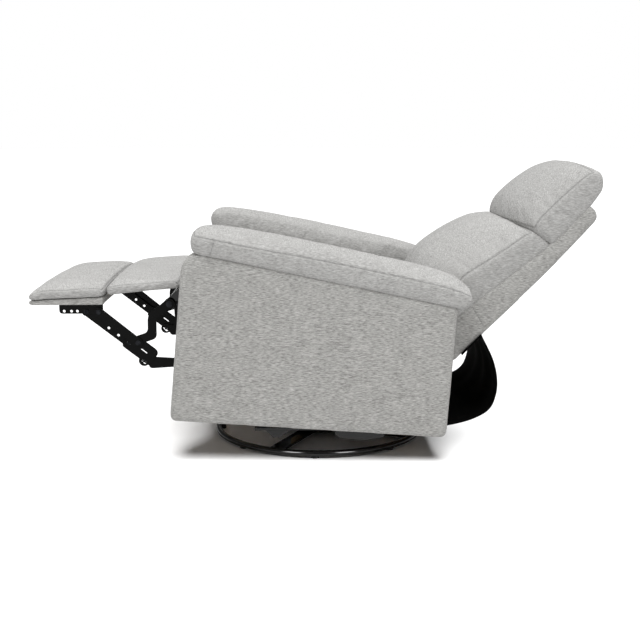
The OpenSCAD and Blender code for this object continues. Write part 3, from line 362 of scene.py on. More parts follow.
class Loft:
    """A cushion's form: side outline at its two ends, and middle outline between them.

    Power says how flat its crown is across, edge how far its ends are rounded, and seated how much of that
    rounding is left where it lies on another piece. Inner is the outline of the end toward the seat."""

    def __init__(self, place, half, side, mid, middle_x=0.0, power=2.6, steps=6, edge=0.010, seated=0.3,
                 inner=None, inward=1, inner_edge=None):
        self.side, self.marks = ring_of(side, steps)
        self.inner, self.inward = ring_of(inner or side, steps)[0], inward
        self.mid = ring_of(mid, steps)[0]
        self.centre = sum(self.side, Vector((0, 0))) / len(self.side)
        # The last chain lies on what carries the piece, so its ends are turned in less.
        self.turn = [1.0] * self.marks[3] + [seated] * (len(self.side) - self.marks[3])
        self.place, self.half, self.middle_x, self.power, self.edge = place, half, middle_x, power, edge
        outward, back = self.stations_to(edge), self.stations_to(inner_edge or edge)
        if inward < 0:
            outward, back = back, outward
        self.stations = [(-x, d) for x, d in back[:0:-1]] + outward

    def stations_to(self, edge):
        """Places from the middle to one end of the piece, with how far the outline is drawn in there."""
        near = [(k / 11 * (self.half - edge), 0) for k in range(12)]
        turns = [(0.75, 0.04), (0.45, 0.14), (0.2, 0.32), (0.06, 0.54), (0, 0.8)]
        return near + [(self.half - edge * a, edge * b) for a, b in turns]

    def point(self, i, x, drawn=0.0):
        """Point i of the outline at a place across the piece, in the row frame."""
        bulge = 1 - abs(x / self.half) ** self.power
        end = self.inner if x * self.inward < 0 else self.side
        q = end[i].lerp(self.mid[i], bulge)
        if drawn:
            q = q + (self.centre - q).normalized() * drawn * self.turn[i]
        y, z = self.place(q.x, q.y)
        return Vector((self.middle_x + x, y, z))

    def build(self, name):
        """The closed mesh: one outline extruded from station to station across the piece."""
        bm = bmesh.new()
        count = len(self.side)
        rings = [[self.point(i, x, d) for i in range(count)] for x, d in self.stations]
        verts = [bm.verts.new(p) for p in rings[0]]
        edges = [bm.edges.new((verts[i], verts[(i + 1) % count])) for i in range(count)]
        first = list(edges)
        for ring in rings[1:]:
            made = bmesh.ops.extrude_edge_only(bm, edges=edges)["geom"]
            news = {v for v in made if isinstance(v, bmesh.types.BMVert)}
            follow = [next(e.other_vert(v) for e in v.link_edges if e.other_vert(v) in news) for v in verts]
            for v, p in zip(follow, ring):
                v.co = p
            verts = follow
            pairs = [(verts[i], verts[(i + 1) % count]) for i in range(count)]
            edges = [next(e for e in a.link_edges if e.other_vert(a) == b) for a, b in pairs]
        for loop in (first, edges):
            bmesh.ops.contextual_create(bm, geom=loop)
        bmesh.ops.recalc_face_normals(bm, faces=bm.faces)
        return from_bmesh(bm, name)

    def line(self, i, x0, x1, count=60):
        """Points along outline point i, from one place across the piece to another."""
        return [self.point(i, x0 + (x1 - x0) * k / count) for k in range(count + 1)]

    def edge_line(self, first, last, x):
        """Points along the outline from point first to last, at one place across the piece."""
        return [self.point(i % len(self.side), x) for i in range(first, last + 1)]

    def round_seam(self, first, last):
        """The seam round a top panel: along both sides and across both ends."""
        x = self.half - self.edge * 0.2
        return (self.edge_line(first, last, x) + self.line(last % len(self.side), x, -x)
                + self.edge_line(first, last, -x)[::-1] + self.line(first, -x, x))


def from_bmesh(bm, name):
    """A new piece in the scene from a bmesh."""
    mesh = bpy.data.meshes.new(name)
    bm.to_mesh(mesh)
    bm.free()
    piece = bpy.data.objects.new(name, mesh)
    scene.collection.objects.link(piece)
    return piece


def baked(piece):
    """Makes what a piece's modifiers show its own mesh."""
    bpy.context.view_layer.update()
    mesh = bpy.data.meshes.new_from_object(piece.evaluated_get(bpy.context.evaluated_depsgraph_get()))
    piece.modifiers.clear()
    piece.data = mesh
    mesh.name = piece.name
    return piece


def remeshed(piece, voxel, passes=3):
    """Even faces of one size, then smoothed so that the corners turn softly."""
    remesh = piece.modifiers.new("even", "REMESH")
    remesh.mode, remesh.voxel_size, remesh.use_smooth_shade = "VOXEL", voxel, True
    baked(piece)
    bm = bmesh.new()
    bm.from_mesh(piece.data)
    for _ in range(passes):
        bmesh.ops.smooth_vert(bm, verts=bm.verts, factor=0.5,
                              use_axis_x=True, use_axis_y=True, use_axis_z=True)
    bm.to_mesh(piece.data)
    bm.free()
    return piece


def coords(piece):
    """A piece's points, one row each."""
    co = np.empty(len(piece.data.vertices) * 3, np.float32)
    piece.data.vertices.foreach_get("co", co)
    return co.reshape(-1, 3)


def set_coords(piece, co):
    """Moves a piece's points."""
    piece.data.vertices.foreach_set("co", np.asarray(co, np.float32).ravel())
    piece.data.update()


def normals(piece):
    """The normals at a piece's points."""
    n = np.empty(len(piece.data.vertices) * 3, np.float32)
    piece.data.vertex_normals.foreach_get("vector", n)
    return n.reshape(-1, 3)


def dense(path, spacing=0.0015):
    """Points along a path at an even spacing."""
    out = []
    for a, b in zip(path, path[1:]):
        steps = max(1, int((b - a).length / spacing))
        out += [a.lerp(b, k / steps) for k in range(steps)]
    return out + [path[-1]]


def near_path(piece, path, reach):
    """For each vertex: its distance from a path, and how far along the path its nearest point is."""
    points = dense(path)
    tree = kdtree.KDTree(len(points))
    for i, p in enumerate(points):
        tree.insert(p, i)
    tree.balance()
    run = np.concatenate([[0], np.cumsum([(b - a).length for a, b in zip(points, points[1:])])])
    co = coords(piece)
    low = np.min(np.array(points), 0) - reach
    high = np.max(np.array(points), 0) + reach
    inside = np.where(np.all((co > low) & (co < high), axis=1))[0]
    distance = np.full(len(co), reach * 10)
    where = np.zeros(len(co))
    for v in inside:
        _, i, d = tree.find(co[v])
        distance[v], where[v] = d, run[i]
    return distance, where


def laid_on(path, piece):
    """A seam's path, moved onto the piece's surface."""
    tree = BVHTree.FromObject(piece, bpy.context.evaluated_depsgraph_get())
    return [tree.find_nearest(p)[0] for p in path]


CLOTH_FRAMES = 20
SEAM_REACH = 0.012
SEAM_HELD = 0.005
STUFFED_FABRIC = {
    "quality": 5, "mass": 0.3, "tension_stiffness": 12, "compression_stiffness": 12, "shear_stiffness": 5,
    "bending_stiffness": 0.8, "use_pressure": True, "uniform_pressure_force": 4, "shrink_min": -0.012,
    "vertex_group_mass": "held"}


def puff(work):
    """Cloth under inner pressure, held along its seams and where it rests.

    Work is (piece, seams, rests, cap), and no point moves farther than the cap."""
    rests_before = {}
    for piece, seams, rests, cap in work:
        hold = piece.vertex_groups.new(name="held")
        co = coords(piece)
        weight = np.zeros(len(co))
        for path in seams:
            distance, _ = near_path(piece, path, SEAM_REACH)
            weight = np.maximum(weight, np.clip(1.6 - distance / SEAM_HELD, 0, 1))
        weight = np.maximum(weight, rests(co, normals(piece)))
        for v in np.where(weight > 0.02)[0]:
            hold.add([int(v)], float(weight[v]), "REPLACE")
        rests_before[piece.name] = co
        cloth = piece.modifiers.new("stuffed", "CLOTH")
        for setting, value in STUFFED_FABRIC.items():
            setattr(cloth.settings, setting, value)
        cloth.settings.effector_weights.gravity = 0
        cloth.collision_settings.use_self_collision = False
        cloth.collision_settings.use_collision = False
        cloth.point_cache.frame_start, cloth.point_cache.frame_end = 1, CLOTH_FRAMES
    for f in range(1, CLOTH_FRAMES + 1):
        scene.frame_set(f)
    for piece, seams, rests, cap in work:
        baked(piece)
        before = rests_before[piece.name]
        move = coords(piece) - before
        length = np.linalg.norm(move, axis=1, keepdims=True)
        move *= cap * np.tanh(length / cap) / np.maximum(length, 1e-9)
        set_coords(piece, before + move)
        piece.vertex_groups.clear()
    scene.frame_set(1)


def finer(piece):
    """One subdivision, made final."""
    subdivision = piece.modifiers.new("finer", "SUBSURF")
    subdivision.levels = subdivision.render_levels = 1
    return baked(piece)


def sewn(piece, seams, soft=0.0):
    """Draws seams into a piece, keeps painted shade along them in its seam attribute, and waves its faces a
    little by soft.

    Each seam is (path, depth, width, pucker height, pucker reach, pucker spacing)."""
    co, n = coords(piece), normals(piece)
    shift = np.zeros(len(co))
    painted_shade = np.zeros(len(co))
    for k, (path, depth, width, pucker, reach, spacing) in enumerate(seams):
        distance, run = near_path(piece, path, reach * 3)
        close = np.exp(-(distance / width) ** 2)
        shift -= depth * close
        painted_shade = np.maximum(painted_shade, np.exp(-(distance / (width * 0.55)) ** 2))
        if pucker:
            # The seam's number keeps its ripple apart from the other seams' ripples.
            ripple = np.array([noise.noise(Vector((r / spacing, k * 5.3, 1.7)))
                               + 0.5 * noise.noise(Vector((r / spacing * 2.3, k * 3.1, 9.2))) for r in run])
            shift += pucker * ripple * np.exp(-distance / reach) * (1 - 0.6 * close)
    if soft:
        shift += soft * np.array([noise.noise(Vector(p) * 9) for p in co])
    set_coords(piece, co + n * shift[:, None])
    # The seam attribute holds painted shade: 1 on a seam and fading to 0 away from it.
    attribute = piece.data.attributes.new("seam", "FLOAT", "POINT")
    attribute.data.foreach_set("value", painted_shade.astype(np.float32))
    return piece


def stitched(name, path, host, spacing=0.0048, length=0.0034, radius=0.00038):
    """Lockstitches along a path, laid on the host's surface, thicker than real thread so that they show."""
    bvh = BVHTree.FromObject(host, bpy.context.evaluated_depsgraph_get())
    points = dense(path, 0.0008)
    bm = bmesh.new()
    run, last = 0.0, points[0]
    for p in points[1:]:
        run += (p - last).length
        if run >= spacing:
            run = 0.0
            spot, normal, _, _ = bvh.find_nearest(p)
            direction = (p - last).normalized()
            if spot is not None and (spot - p).length < 0.02 and direction.length:
                turn = direction.to_track_quat("Z", "Y").to_matrix().to_4x4()
                turn.translation = spot + normal * radius * 0.2
                bmesh.ops.create_cone(bm, cap_ends=True, segments=5, radius1=radius, radius2=radius,
                                      depth=length, matrix=turn)
        last = p
    piece = from_bmesh(bm, name)
    return dressed(piece, sewing_thread)


def dressed(piece, material):
    """A piece in one material, shaded smooth."""
    piece.data.materials.clear()
    piece.data.materials.append(material)
    piece.data.shade_smooth()
    return piece


def lies_flat(co, n):
    """Held where the underside lies on what carries the piece."""
    return np.where(n[:, 2] < -0.5, 1.0, 0.0)


# Arm panels: foam and fabric over a board, edges turned softly

def rounded(corners, steps):
    """An outline with rounded corners, from (a, b, rounding) corners."""
    out = []
    for i, (a, b, cut) in enumerate(corners):
        here = Vector((a, b))
        last, after = Vector(corners[i - 1][:2]), Vector(corners[(i + 1) % len(corners)][:2])
        start = here + (last - here).normalized() * cut
        end = here + (after - here).normalized() * cut
        for k in range(steps + 1):
            t = k / steps
            out.append((1 - t) ** 2 * start + 2 * t * (1 - t) * here + t * t * end)
    return out


def slab(name, outline, place, x0, x1, edge_round, segments=4, seated=None, seated_round=0.003):
    """A side outline extruded across, its long edges rounded, less so where it is seated on a piece."""
    bm = bmesh.new()
    weight = bm.edges.layers.float.new("bevel_weight_edge")
    verts = [bm.verts.new((x0, *place(p.x, p.y))) for p in outline]
    face = bm.faces.new(verts)
    made = bmesh.ops.extrude_face_region(bm, geom=[face])["geom"]
    moved = [v for v in made if isinstance(v, bmesh.types.BMVert)]
    bmesh.ops.translate(bm, verts=moved, vec=(x1 - x0, 0, 0))
    bmesh.ops.recalc_face_normals(bm, faces=bm.faces)
    rims = [e for e in bm.edges if abs(e.verts[0].co.x - e.verts[1].co.x) < 1e-6]
    for e in rims:
        held = seated and all(seated(v.co) for v in e.verts)
        e[weight] = seated_round / edge_round if held else 1.0
    piece = from_bmesh(bm, name)
    bevel = piece.modifiers.new("rims", "BEVEL")
    bevel.limit_method, bevel.width, bevel.segments = "WEIGHT", edge_round, segments
    return baked(piece)


PANEL_CORNERS = [(-0.3725, 0.0905, 0.014), (-0.3655, arm_seam(-0.3655), 0.060),
                 (0.306, arm_seam(0.306), 0.012), (0.307, 0.0945, 0.014)]
PANEL_CROWN, PANEL_SLACK = 0.0022, 0.0010


def arm_panel(side, sign):
    """One arm's panel: a flat upholstered slab, barely crowned, with a soft front edge."""
    def under_pad(p):
        """Where the arm's pad lies on the panel's top edge."""
        return p.y > -0.26 and p.z > 0.40 - 0.21 * p.y and p.y < 0.31

    piece = slab(f"arm_panel_cover_{side}", rounded(PANEL_CORNERS, 8), leaned,
                 sign * PANEL_IN, sign * PANEL_OUT, edge_round=0.008, seated=under_pad)
    remeshed(piece, voxel=0.007, passes=2)
    finer(piece)
    co, n = coords(piece), normals(piece)
    # From -1 to 1 along the panel and up it.
    y, z = co[:, 1] / 0.33, (co[:, 2] - 0.30) / 0.21
    crown = np.clip(1 - y ** 4, 0, 1) * np.clip(1 - z ** 4, 0, 1)
    slack = np.array([noise.noise(Vector((p[1] * 5, p[2] * 8, sign))) for p in co])
    outer = np.clip(n[:, 0] * sign, 0, 1)
    set_coords(piece, co + n * (outer * (PANEL_CROWN * crown + PANEL_SLACK * slack))[:, None])
    dressed(piece, upholstery)
    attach(piece, "chair_body")
    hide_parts(f"arm_panel_{side}")


# Each cushion comes with its seams, what holds it still, and the farthest that its faces may puff out

def boxed(name, place, half, side, mid, power, edge, voxel, passes):
    """A cushion whose top panel is sewn round to its side bands: the piece, its form and that seam."""
    form = Loft(place, half, side, mid, power=power, edge=edge)
    piece = form.build(name)
    remeshed(piece, voxel, passes)
    return piece, form, form.round_seam(form.marks[1], form.marks[2])


# Arm pads: a boxed cushion along each arm, its top panel sewn to a side band

PAD_SIDE = [
    [(-0.332, -0.004), (-0.341, 0.003), (-0.343, 0.024)],
    [(-0.337, 0.041), (-0.302, 0.038), (-0.180, 0.038), (-0.060, 0.041), (0.100, 0.042), (0.220, 0.041),
     (0.296, 0.037)],
    [(0.334, 0.032), (0.338, 0.022), (0.330, 0.006)],
    [(0.309, -0.004), (0.200, -0.004), (0.000, -0.004), (-0.200, -0.004)],
]
PAD_INNER = [
    [(-0.332, -0.004), (-0.342, 0.006), (-0.3460, 0.028)],
    [(-0.341, 0.046), (-0.308, 0.057), (-0.235, 0.062), (-0.079, 0.067), (0.060, 0.067), (0.200, 0.065),
     (0.285, 0.059)],
    [(0.326, 0.044), (0.334, 0.022), (0.327, 0.005)],
    [(0.309, -0.004), (0.200, -0.004), (0.000, -0.004), (-0.200, -0.004)],
]
PAD_MID = [
    [(-0.332, -0.004), (-0.342, 0.006), (-0.3475, 0.028)],
    [(-0.342, 0.049), (-0.310, 0.064), (-0.235, 0.070), (-0.079, 0.075), (0.060, 0.075), (0.200, 0.072),
     (0.285, 0.065)],
    [(0.328, 0.048), (0.340, 0.024), (0.330, 0.005)],
    [(0.309, -0.004), (0.200, -0.004), (0.000, -0.004), (-0.200, -0.004)],
]


def arm_pad(side, sign):
    """One arm's pad, higher toward the seat than at its outer band."""
    form = Loft(on_arm, (PAD_OUT - PAD_IN) / 2, PAD_SIDE, PAD_MID, middle_x=sign * (PAD_IN + PAD_OUT) / 2,
                power=2.4, edge=0.008, inner=PAD_INNER, inward=sign, inner_edge=0.030)
    piece = form.build(f"arm_pad_cover_{side}")
    top, rear = form.marks[1], form.marks[2]
    # The top panel is sewn to the outer band and the nose; on the inner side it rolls down to the seat.
    outer = sign * (form.half - form.edge * 0.2)
    seam = form.line(top, -outer * 0.4, outer, 30) + form.edge_line(top, rear, outer)
    upright = [Vector((sign * PAD_OUT, *on_arm(-0.297 + 0.0006 * k, 0.001 + 0.0026 * k)))
               for k in range(16)]

    def rests(co, n):
        return np.where(n[:, 2] < -0.6, 1.0, 0.0)

    remeshed(piece, voxel=0.0052, passes=2)
    return piece, [seam, upright], rests, 0.006


# Back: outer shell, back cushion and headrest, each boxed by a gusset

BACK_SIDE = [
    [(-0.058, 0.078), (-0.060, 0.100), (-0.056, 0.120)],
    [(-0.050, 0.126), (0.030, 0.131), (0.080, 0.130), (0.120, 0.121), (0.165, 0.109), (0.210, 0.099),
     (0.255, 0.091)],
    [(0.272, 0.085), (0.278, 0.070), (0.281, 0.046)],
    [(0.281, 0.025), (0.200, 0.0365), (0.100, 0.0515), (0.000, 0.0665)],
]
BACK_MID = [
    [(-0.054, 0.078), (-0.056, 0.120), (-0.047, 0.178)],
    [(-0.032, 0.211), (0.010, 0.226), (0.060, 0.228), (0.120, 0.216), (0.175, 0.197), (0.218, 0.176),
     (0.244, 0.157)],
    [(0.262, 0.134), (0.272, 0.096), (0.278, 0.056)],
    [(0.279, 0.025), (0.200, 0.0365), (0.100, 0.0515), (0.000, 0.0665)],
]
HEAD_SIDE = [
    [(0.279, 0.025), (0.277, 0.048), (0.276, 0.070)],
    [(0.282, 0.088), (0.310, 0.093), (0.345, 0.093), (0.385, 0.092), (0.425, 0.089), (0.457, 0.086)],
    [(0.480, 0.080), (0.490, 0.065), (0.486, 0.048)],
    [(0.468, 0.030), (0.415, 0.022), (0.370, 0.022), (0.320, 0.022)],
]
HEAD_MID = [
    [(0.277, 0.025), (0.268, 0.062), (0.257, 0.098)],
    [(0.250, 0.143), (0.276, 0.159), (0.320, 0.160), (0.370, 0.154), (0.420, 0.141), (0.460, 0.125)],
    [(0.484, 0.105), (0.494, 0.078), (0.490, 0.050)],
    [(0.470, 0.029), (0.415, 0.022), (0.370, 0.022), (0.320, 0.022)],
]


def back_cushion():
    """The back cushion, whose foot meets the seat cushion as the back comes up."""
    piece, _, seam = boxed("back_cushion_cover", on_back, BACK_HALF, BACK_SIDE, BACK_MID,
                           power=2.7, edge=0.016, voxel=0.0062, passes=3)

    def rests(co, n):
        on_shell = n @ BACK_FRONT < -0.5
        foot = (in_back(co[:, 1], co[:, 2])[0] < -0.02) & (n @ BACK_UP < -0.3)
        return np.where(on_shell | foot, 1.0, 0.0)

    return piece, [seam], rests, 0.011


def headrest():
    """The headrest pillow, over the top of the back cushion."""
    piece, _, seam = boxed("headrest_cover", on_back, BACK_HALF, HEAD_SIDE, HEAD_MID,
                           power=2.7, edge=0.016, voxel=0.0056, passes=3)

    def rests(co, n):
        return np.where(n @ BACK_FRONT < -0.5, 1.0, 0.0)

    return piece, [seam], rests, 0.009


SHELL_CORNERS = [(-0.105, 0.0, 0.016), (0.417, 0.0, 0.016), (0.417, 0.032, 0.010), (0.288, 0.032, 0.006),
                 (0.0, 0.076, 0.006), (-0.105, 0.076, 0.006)]
# The rear is padded, so it is crowned along its height and a little across.
SHELL_SWELL_AT = [-0.05, 0.0, 0.10, 0.20, 0.32, 0.40, 0.418]
SHELL_SWELL = [0.002, 0.0065, 0.0105, 0.0140, 0.0140, 0.0125, 0.010]
SHELL_SWELL_ACROSS, SHELL_SWELL_DEPTH = 0.25, 0.032
SHELL_WALL = 0.005
SHELL_SEWING = (0.0012, 0.0028, 0.0004, 0.010, 0.009)


def shell_seam_depth(u):
    """How far the shell's sides reach to the front, where the cushions' covers meet them."""
    return 0.030 + 0.044 * np.clip(1 - np.clip(u, 0, None) / 0.288, 0, 1)


def back_shell():
    """Outer back: a shallow upholstered tray, open toward the sitter, where the cushions close it."""
    def under_cushion(p):
        """Where the cushions lie on the shell's sides."""
        u, n = in_back(p.y, p.z)
        return n > shell_seam_depth(u) - 0.012 and u < 0.405

    piece = slab("back_shell_cover", rounded(SHELL_CORNERS, 5), on_back, -BACK_HALF, BACK_HALF,
                 edge_round=0.012, segments=5, seated=under_cushion)
    remeshed(piece, voxel=0.0065, passes=2)
    co = coords(piece)
    u, n = in_back(co[:, 1], co[:, 2])
    swell = np.interp(u, SHELL_SWELL_AT, SHELL_SWELL) * np.clip(1 - n / SHELL_SWELL_DEPTH, 0, 1)
    swell = swell * (1 + SHELL_SWELL_ACROSS * (1 - (co[:, 0] / BACK_HALF) ** 2))
    co[:, 1] += BACK_SIN * swell
    co[:, 2] -= BACK_COS * swell
    set_coords(piece, co)
    bm = bmesh.new()
    bm.from_mesh(piece.data)
    front = []
    for f in bm.faces:
        p = f.calc_center_median()
        u, n = in_back(p.y, p.z)
        if (f.normal.dot(Vector(BACK_FRONT)) > 0.6 and n > shell_seam_depth(u) - 0.006
                and abs(p.x) < BACK_HALF - 0.010 and -0.095 < u < 0.402):
            front.append(f)
    bmesh.ops.delete(bm, geom=front, context="FACES")
    bm.to_mesh(piece.data)
    bm.free()
    wall = piece.modifiers.new("wall", "SOLIDIFY")
    wall.thickness, wall.offset = SHELL_WALL, -1
    baked(piece)
    finer(piece)
    # A seam up each side of the rear, and a short one across each gusset near its foot.
    rear_seams = [[Vector((x, *on_back(-0.075 + 0.48 * k / 40, 0.0))) for k in range(41)]
                  for x in (BACK_HALF - 0.012, -BACK_HALF + 0.012)]
    rear_seams += [[Vector((x, *on_back(0.036, 0.066))), Vector((x, *on_back(0.020, 0.008)))]
                   for x in (BACK_HALF, -BACK_HALF)]
    sewn(piece, [(path, *SHELL_SEWING) for path in rear_seams], soft=0.0008)
    dressed(piece, upholstery)
    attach(piece, "back")
    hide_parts("back_shell")


# Seat cushion between the arms, with a rolled front

SEAT_SIDE = [
    [(0.002, 0.012), (-0.0005, 0.030), (0.002, 0.046)],
    [(0.012, 0.056), (0.065, 0.060), (0.130, 0.056), (0.200, 0.044), (0.290, 0.020), (0.370, -0.006),
     (0.450, -0.030)],
    [(0.535, -0.050), (0.542, -0.053), (0.542, -0.057)],
    [(0.540, -0.060), (0.380, -0.036), (0.210, 0.004), (0.130, 0.0135)],
]
SEAT_MID = [
    [(0.002, 0.010), (-0.0005, 0.030), (0.002, 0.048)],
    [(0.014, 0.058), (0.068, 0.062), (0.132, 0.059), (0.200, 0.048), (0.290, 0.025), (0.370, -0.001),
     (0.450, -0.028)],
    [(0.535, -0.054), (0.542, -0.065), (0.542, -0.076)],
    [(0.540, -0.085), (0.400, -0.062), (0.270, -0.038), (0.150, -0.018)],
]


def seat_cushion():
    """The seat cushion, with a channel sewn across behind its rolled front."""
    piece, form, seam = boxed("seat_cushion_cover", on_seat, SEAT_HALF, SEAT_SIDE, SEAT_MID,
                              power=3.0, edge=0.014, voxel=0.0068, passes=3)
    channel = form.line(form.marks[1] + 12, form.half - 0.012, -form.half + 0.012)

    def rests(co, n):
        # It lies on its springs, and its rear end is held down where the back cushion comes over it.
        return np.where(n[:, 2] < -0.5, 1.0, np.clip((co[:, 1] - 0.02) / 0.06, 0, 1))

    return piece, [seam, channel], rests, 0.006


# Footrest: boarded front with its pad, and the flap back to the seat

FOOT_SIDE = [
    [(-0.178, 0.0105), (-0.1835, 0.0135), (-0.1845, 0.0185)],
    [(-0.181, 0.0255), (-0.152, 0.0360), (-0.120, 0.0385), (-0.080, 0.0405), (-0.040, 0.042),
     (-0.008, 0.0425)],
    [(0.004, 0.040), (0.0055, 0.034), (0.005, 0.028)],
    [(0.003, 0.0200), (-0.050, 0.0175), (-0.100, 0.0150), (-0.150, 0.0127)],
]
FOOT_MID = [
    [(-0.179, 0.0105), (-0.1845, 0.015), (-0.1855, 0.022)],
    [(-0.181, 0.032), (-0.147, 0.0465), (-0.112, 0.0525), (-0.075, 0.0550), (-0.040, 0.0560),
     (-0.008, 0.0560)],
    [(0.0045, 0.050), (0.006, 0.040), (0.005, 0.029)],
    [(0.003, 0.0200), (-0.050, 0.0175), (-0.100, 0.0150), (-0.150, 0.0127)],
]
FLAP_SIDE = [
    [(-0.176, -0.012), (-0.1775, -0.004), (-0.1775, 0.003)],
    [(-0.174, 0.010), (-0.145, 0.0155), (-0.105, 0.019), (-0.060, 0.022), (-0.025, 0.0245),
     (-0.006, 0.0245)],
    [(0.002, 0.020), (0.003, 0.014), (0.003, 0.009)],
    [(0.002, 0.0050), (-0.050, 0.0010), (-0.100, -0.0040), (-0.145, -0.0085)],
]
FLAP_MID = [
    [(-0.177, -0.013), (-0.1785, -0.002), (-0.1785, 0.008)],
    [(-0.175, 0.019), (-0.145, 0.0255), (-0.105, 0.029), (-0.060, 0.031), (-0.025, 0.0330),
     (-0.006, 0.0325)],
    [(0.002, 0.026), (0.003, 0.016), (0.003, 0.009)],
    [(0.002, 0.0040), (-0.050, 0.0000), (-0.100, -0.0050), (-0.145, -0.0095)],
]


def footrest_pad():
    """The pad on the footrest's board."""
    piece, _, seam = boxed("footrest_pad_cover", on_foot, FOOT_HALF, FOOT_SIDE, FOOT_MID,
                           power=3.0, edge=0.018, voxel=0.0050, passes=2)
    return piece, [seam], lies_flat, 0.005


def flap_pad():
    """The pad that closes the gap between the seat and the footrest."""
    piece, _, seam = boxed("flap_pad_cover", on_flap, FOOT_HALF, FLAP_SIDE, FLAP_MID,
                           power=3.0, edge=0.014, voxel=0.0050, passes=2)
    return piece, [seam], lies_flat, 0.005


BOARD_CORNERS = [(0.001, -0.0004, 0.002), (-0.1775, -0.0012, 0.004), (-0.185, 0.006, 0.004),
                 (-0.1775, 0.0102, 0.004), (0.001, 0.0185, 0.002)]


def footrest_board():
    """The board under the pad, wrapped in the same fabric, its ends turned softly."""
    piece = slab("footrest_board_cover", rounded(BOARD_CORNERS, 4), on_foot,
                 -FOOT_HALF * 0.98, FOOT_HALF * 0.98, edge_round=0.0045)
    remeshed(piece, voxel=0.0040, passes=1)
    dressed(piece, upholstery)
    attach(piece, "footrest")
    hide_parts("footrest_board")


def seat_apron():
    """Black cloth pad that closes the gap behind the seat."""
    piece = bpy.data.objects.new("seat_apron_cover", nodes["seat_apron"].data.copy())
    scene.collection.objects.link(piece)
    bm = bmesh.new()
    bm.from_mesh(piece.data)
    bmesh.ops.remove_doubles(bm, verts=bm.verts, dist=0.00001)
    bmesh.ops.dissolve_limit(bm, angle_limit=0.01, verts=bm.verts, edges=bm.edges)
    bmesh.ops.bevel(bm, geom=list(bm.edges), offset=0.0012, segments=2, profile=0.5,
                    affect="EDGES", material=-1)
    bm.to_mesh(piece.data)
    bm.free()
    dressed(piece, dust_cloth)
    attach(piece, "seat")
    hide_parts("seat_apron")


# Rear dust cloth: one sheet that hangs from the shell's foot to the rear board

# Places on the sheet's line, as shares of the way from the rear board to the shell's foot, aft and up.
CLOTH_SHARES = [
    (0, 0), (0.14, -0.009), (0.3, 0.012), (0.515, 0.034), (0.773, 0.069), (1.0, 0.116), (1.17, 0.168),
    (1.30, 0.25), (1.385, 0.397), (1.375, 0.547), (1.28, 0.716), (1.13, 0.871), (1.04, 0.955), (1, 1)]
CLOTH_HEM = (0.0, -0.018, -0.036, -0.054, -0.070)
CLOTH_HALF = 0.250
CLOTH_COLUMNS = 60
CLOTH_THICK = 0.0016
CLOTH_FOLD = 0.0020


def rear_cloth():
    """Hangs the sheet, and gives its length along the line that it follows."""
    low = leaned(0.291, 0.0975)
    high = on_back(0.0, -0.0015)
    control = [Vector((low[0] + a * (high[0] - low[0]), low[1] + b * (high[1] - low[1])))
               for a, b in CLOTH_SHARES]
    line = through(control, 5) + [Vector(on_back(u, -0.0018)) for u in CLOTH_HEM]
    bm = bmesh.new()
    verts = [bm.verts.new((-CLOTH_HALF, p.x, p.y)) for p in line]
    edges = [bm.edges.new((a, b)) for a, b in zip(verts, verts[1:])]
    for _ in range(CLOTH_COLUMNS):
        made = bmesh.ops.extrude_edge_only(bm, edges=edges)["geom"]
        edges = [e for e in made if isinstance(e, bmesh.types.BMEdge)]
        bmesh.ops.translate(bm, verts=[v for v in made if isinstance(v, bmesh.types.BMVert)],
                            vec=(2 * CLOTH_HALF / CLOTH_COLUMNS, 0, 0))
    bmesh.ops.recalc_face_normals(bm, faces=bm.faces)
    # Soft upright folds that die out at both fixed ends.
    bm.normal_update()
    span = high[1] - low[1]
    for v in bm.verts:
        t = min(1, max(0, (v.co.z - low[1]) / span))
        fold = math.sin(v.co.x * 46 + 1.2) + noise.noise(Vector((v.co.x * 14, t * 3, 2)))
        v.co += v.normal * CLOTH_FOLD * fold * math.sin(math.pi * t) ** 0.8
    piece = from_bmesh(bm, "rear_dust_cloth_sheet")
    wall = piece.modifiers.new("cloth", "SOLIDIFY")
    wall.thickness, wall.offset = CLOTH_THICK, 0
    baked(piece)
    dressed(piece, dust_cloth)
    length = sum((b - a).length for a, b in zip(line, line[1:]))
    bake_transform(piece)
    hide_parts("rear_dust_cloth")
    return length


# Make everything

for side, sign in (("left", 1), ("right", -1)):
    arm_panel(side, sign)
back_shell()
footrest_board()
seat_apron()
rear_length = rear_cloth()

# How each cushion's seams are sewn: their depth and width, and their pucker's height, reach and spacing.
ARM_SEWING = (0.0014, 0.0030, 0.0007, 0.009, 0.007)
BACK_SEWING = (0.0014, 0.0032, 0.0012, 0.016, 0.012)
HEAD_SEWING = (0.0014, 0.0032, 0.0012, 0.014, 0.012)
SEAT_SEWING = (0.0018, 0.0045, 0.0010, 0.016, 0.012)
FOOT_SEWING = (0.0012, 0.0030, 0.0006, 0.010, 0.009)
CUSHIONS = [
    (arm_pad("left", 1), "chair_body", "arm_pad_left", ARM_SEWING, 0.85),
    (arm_pad("right", -1), "chair_body", "arm_pad_right", ARM_SEWING, 0.85),
    (back_cushion(), "back", "back_cushion", BACK_SEWING, 0.7),
    (headrest(), "back", "headrest_pillow", HEAD_SEWING, 0.75),
    (seat_cushion(), "seat", "seat_cushion", SEAT_SEWING, 0.75),
    (footrest_pad(), "footrest", "footrest_pad", FOOT_SEWING, 0.7),
    (flap_pad(), "flap", "flap_pad", FOOT_SEWING, 0.6),
]
bpy.context.view_layer.update()
puff([(piece, [laid_on(path, piece) for path in seams], rests, cap)
      for (piece, seams, rests, cap), *_ in CUSHIONS])
for (piece, seams, _, _), body, node, sewing, fill in CUSHIONS:
    finer(piece)
    bpy.context.view_layer.update()
    seams = [laid_on(path, piece) for path in seams]
    sewn(piece, [(path, *sewing) for path in seams], soft=0.0012)
    dressed(piece, cushion_cover)
    thread = stitched(node + "_stitching", seams[0], piece)
    for part in (piece, thread):
        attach(part, body)
    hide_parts(node)


# Floor, light and background

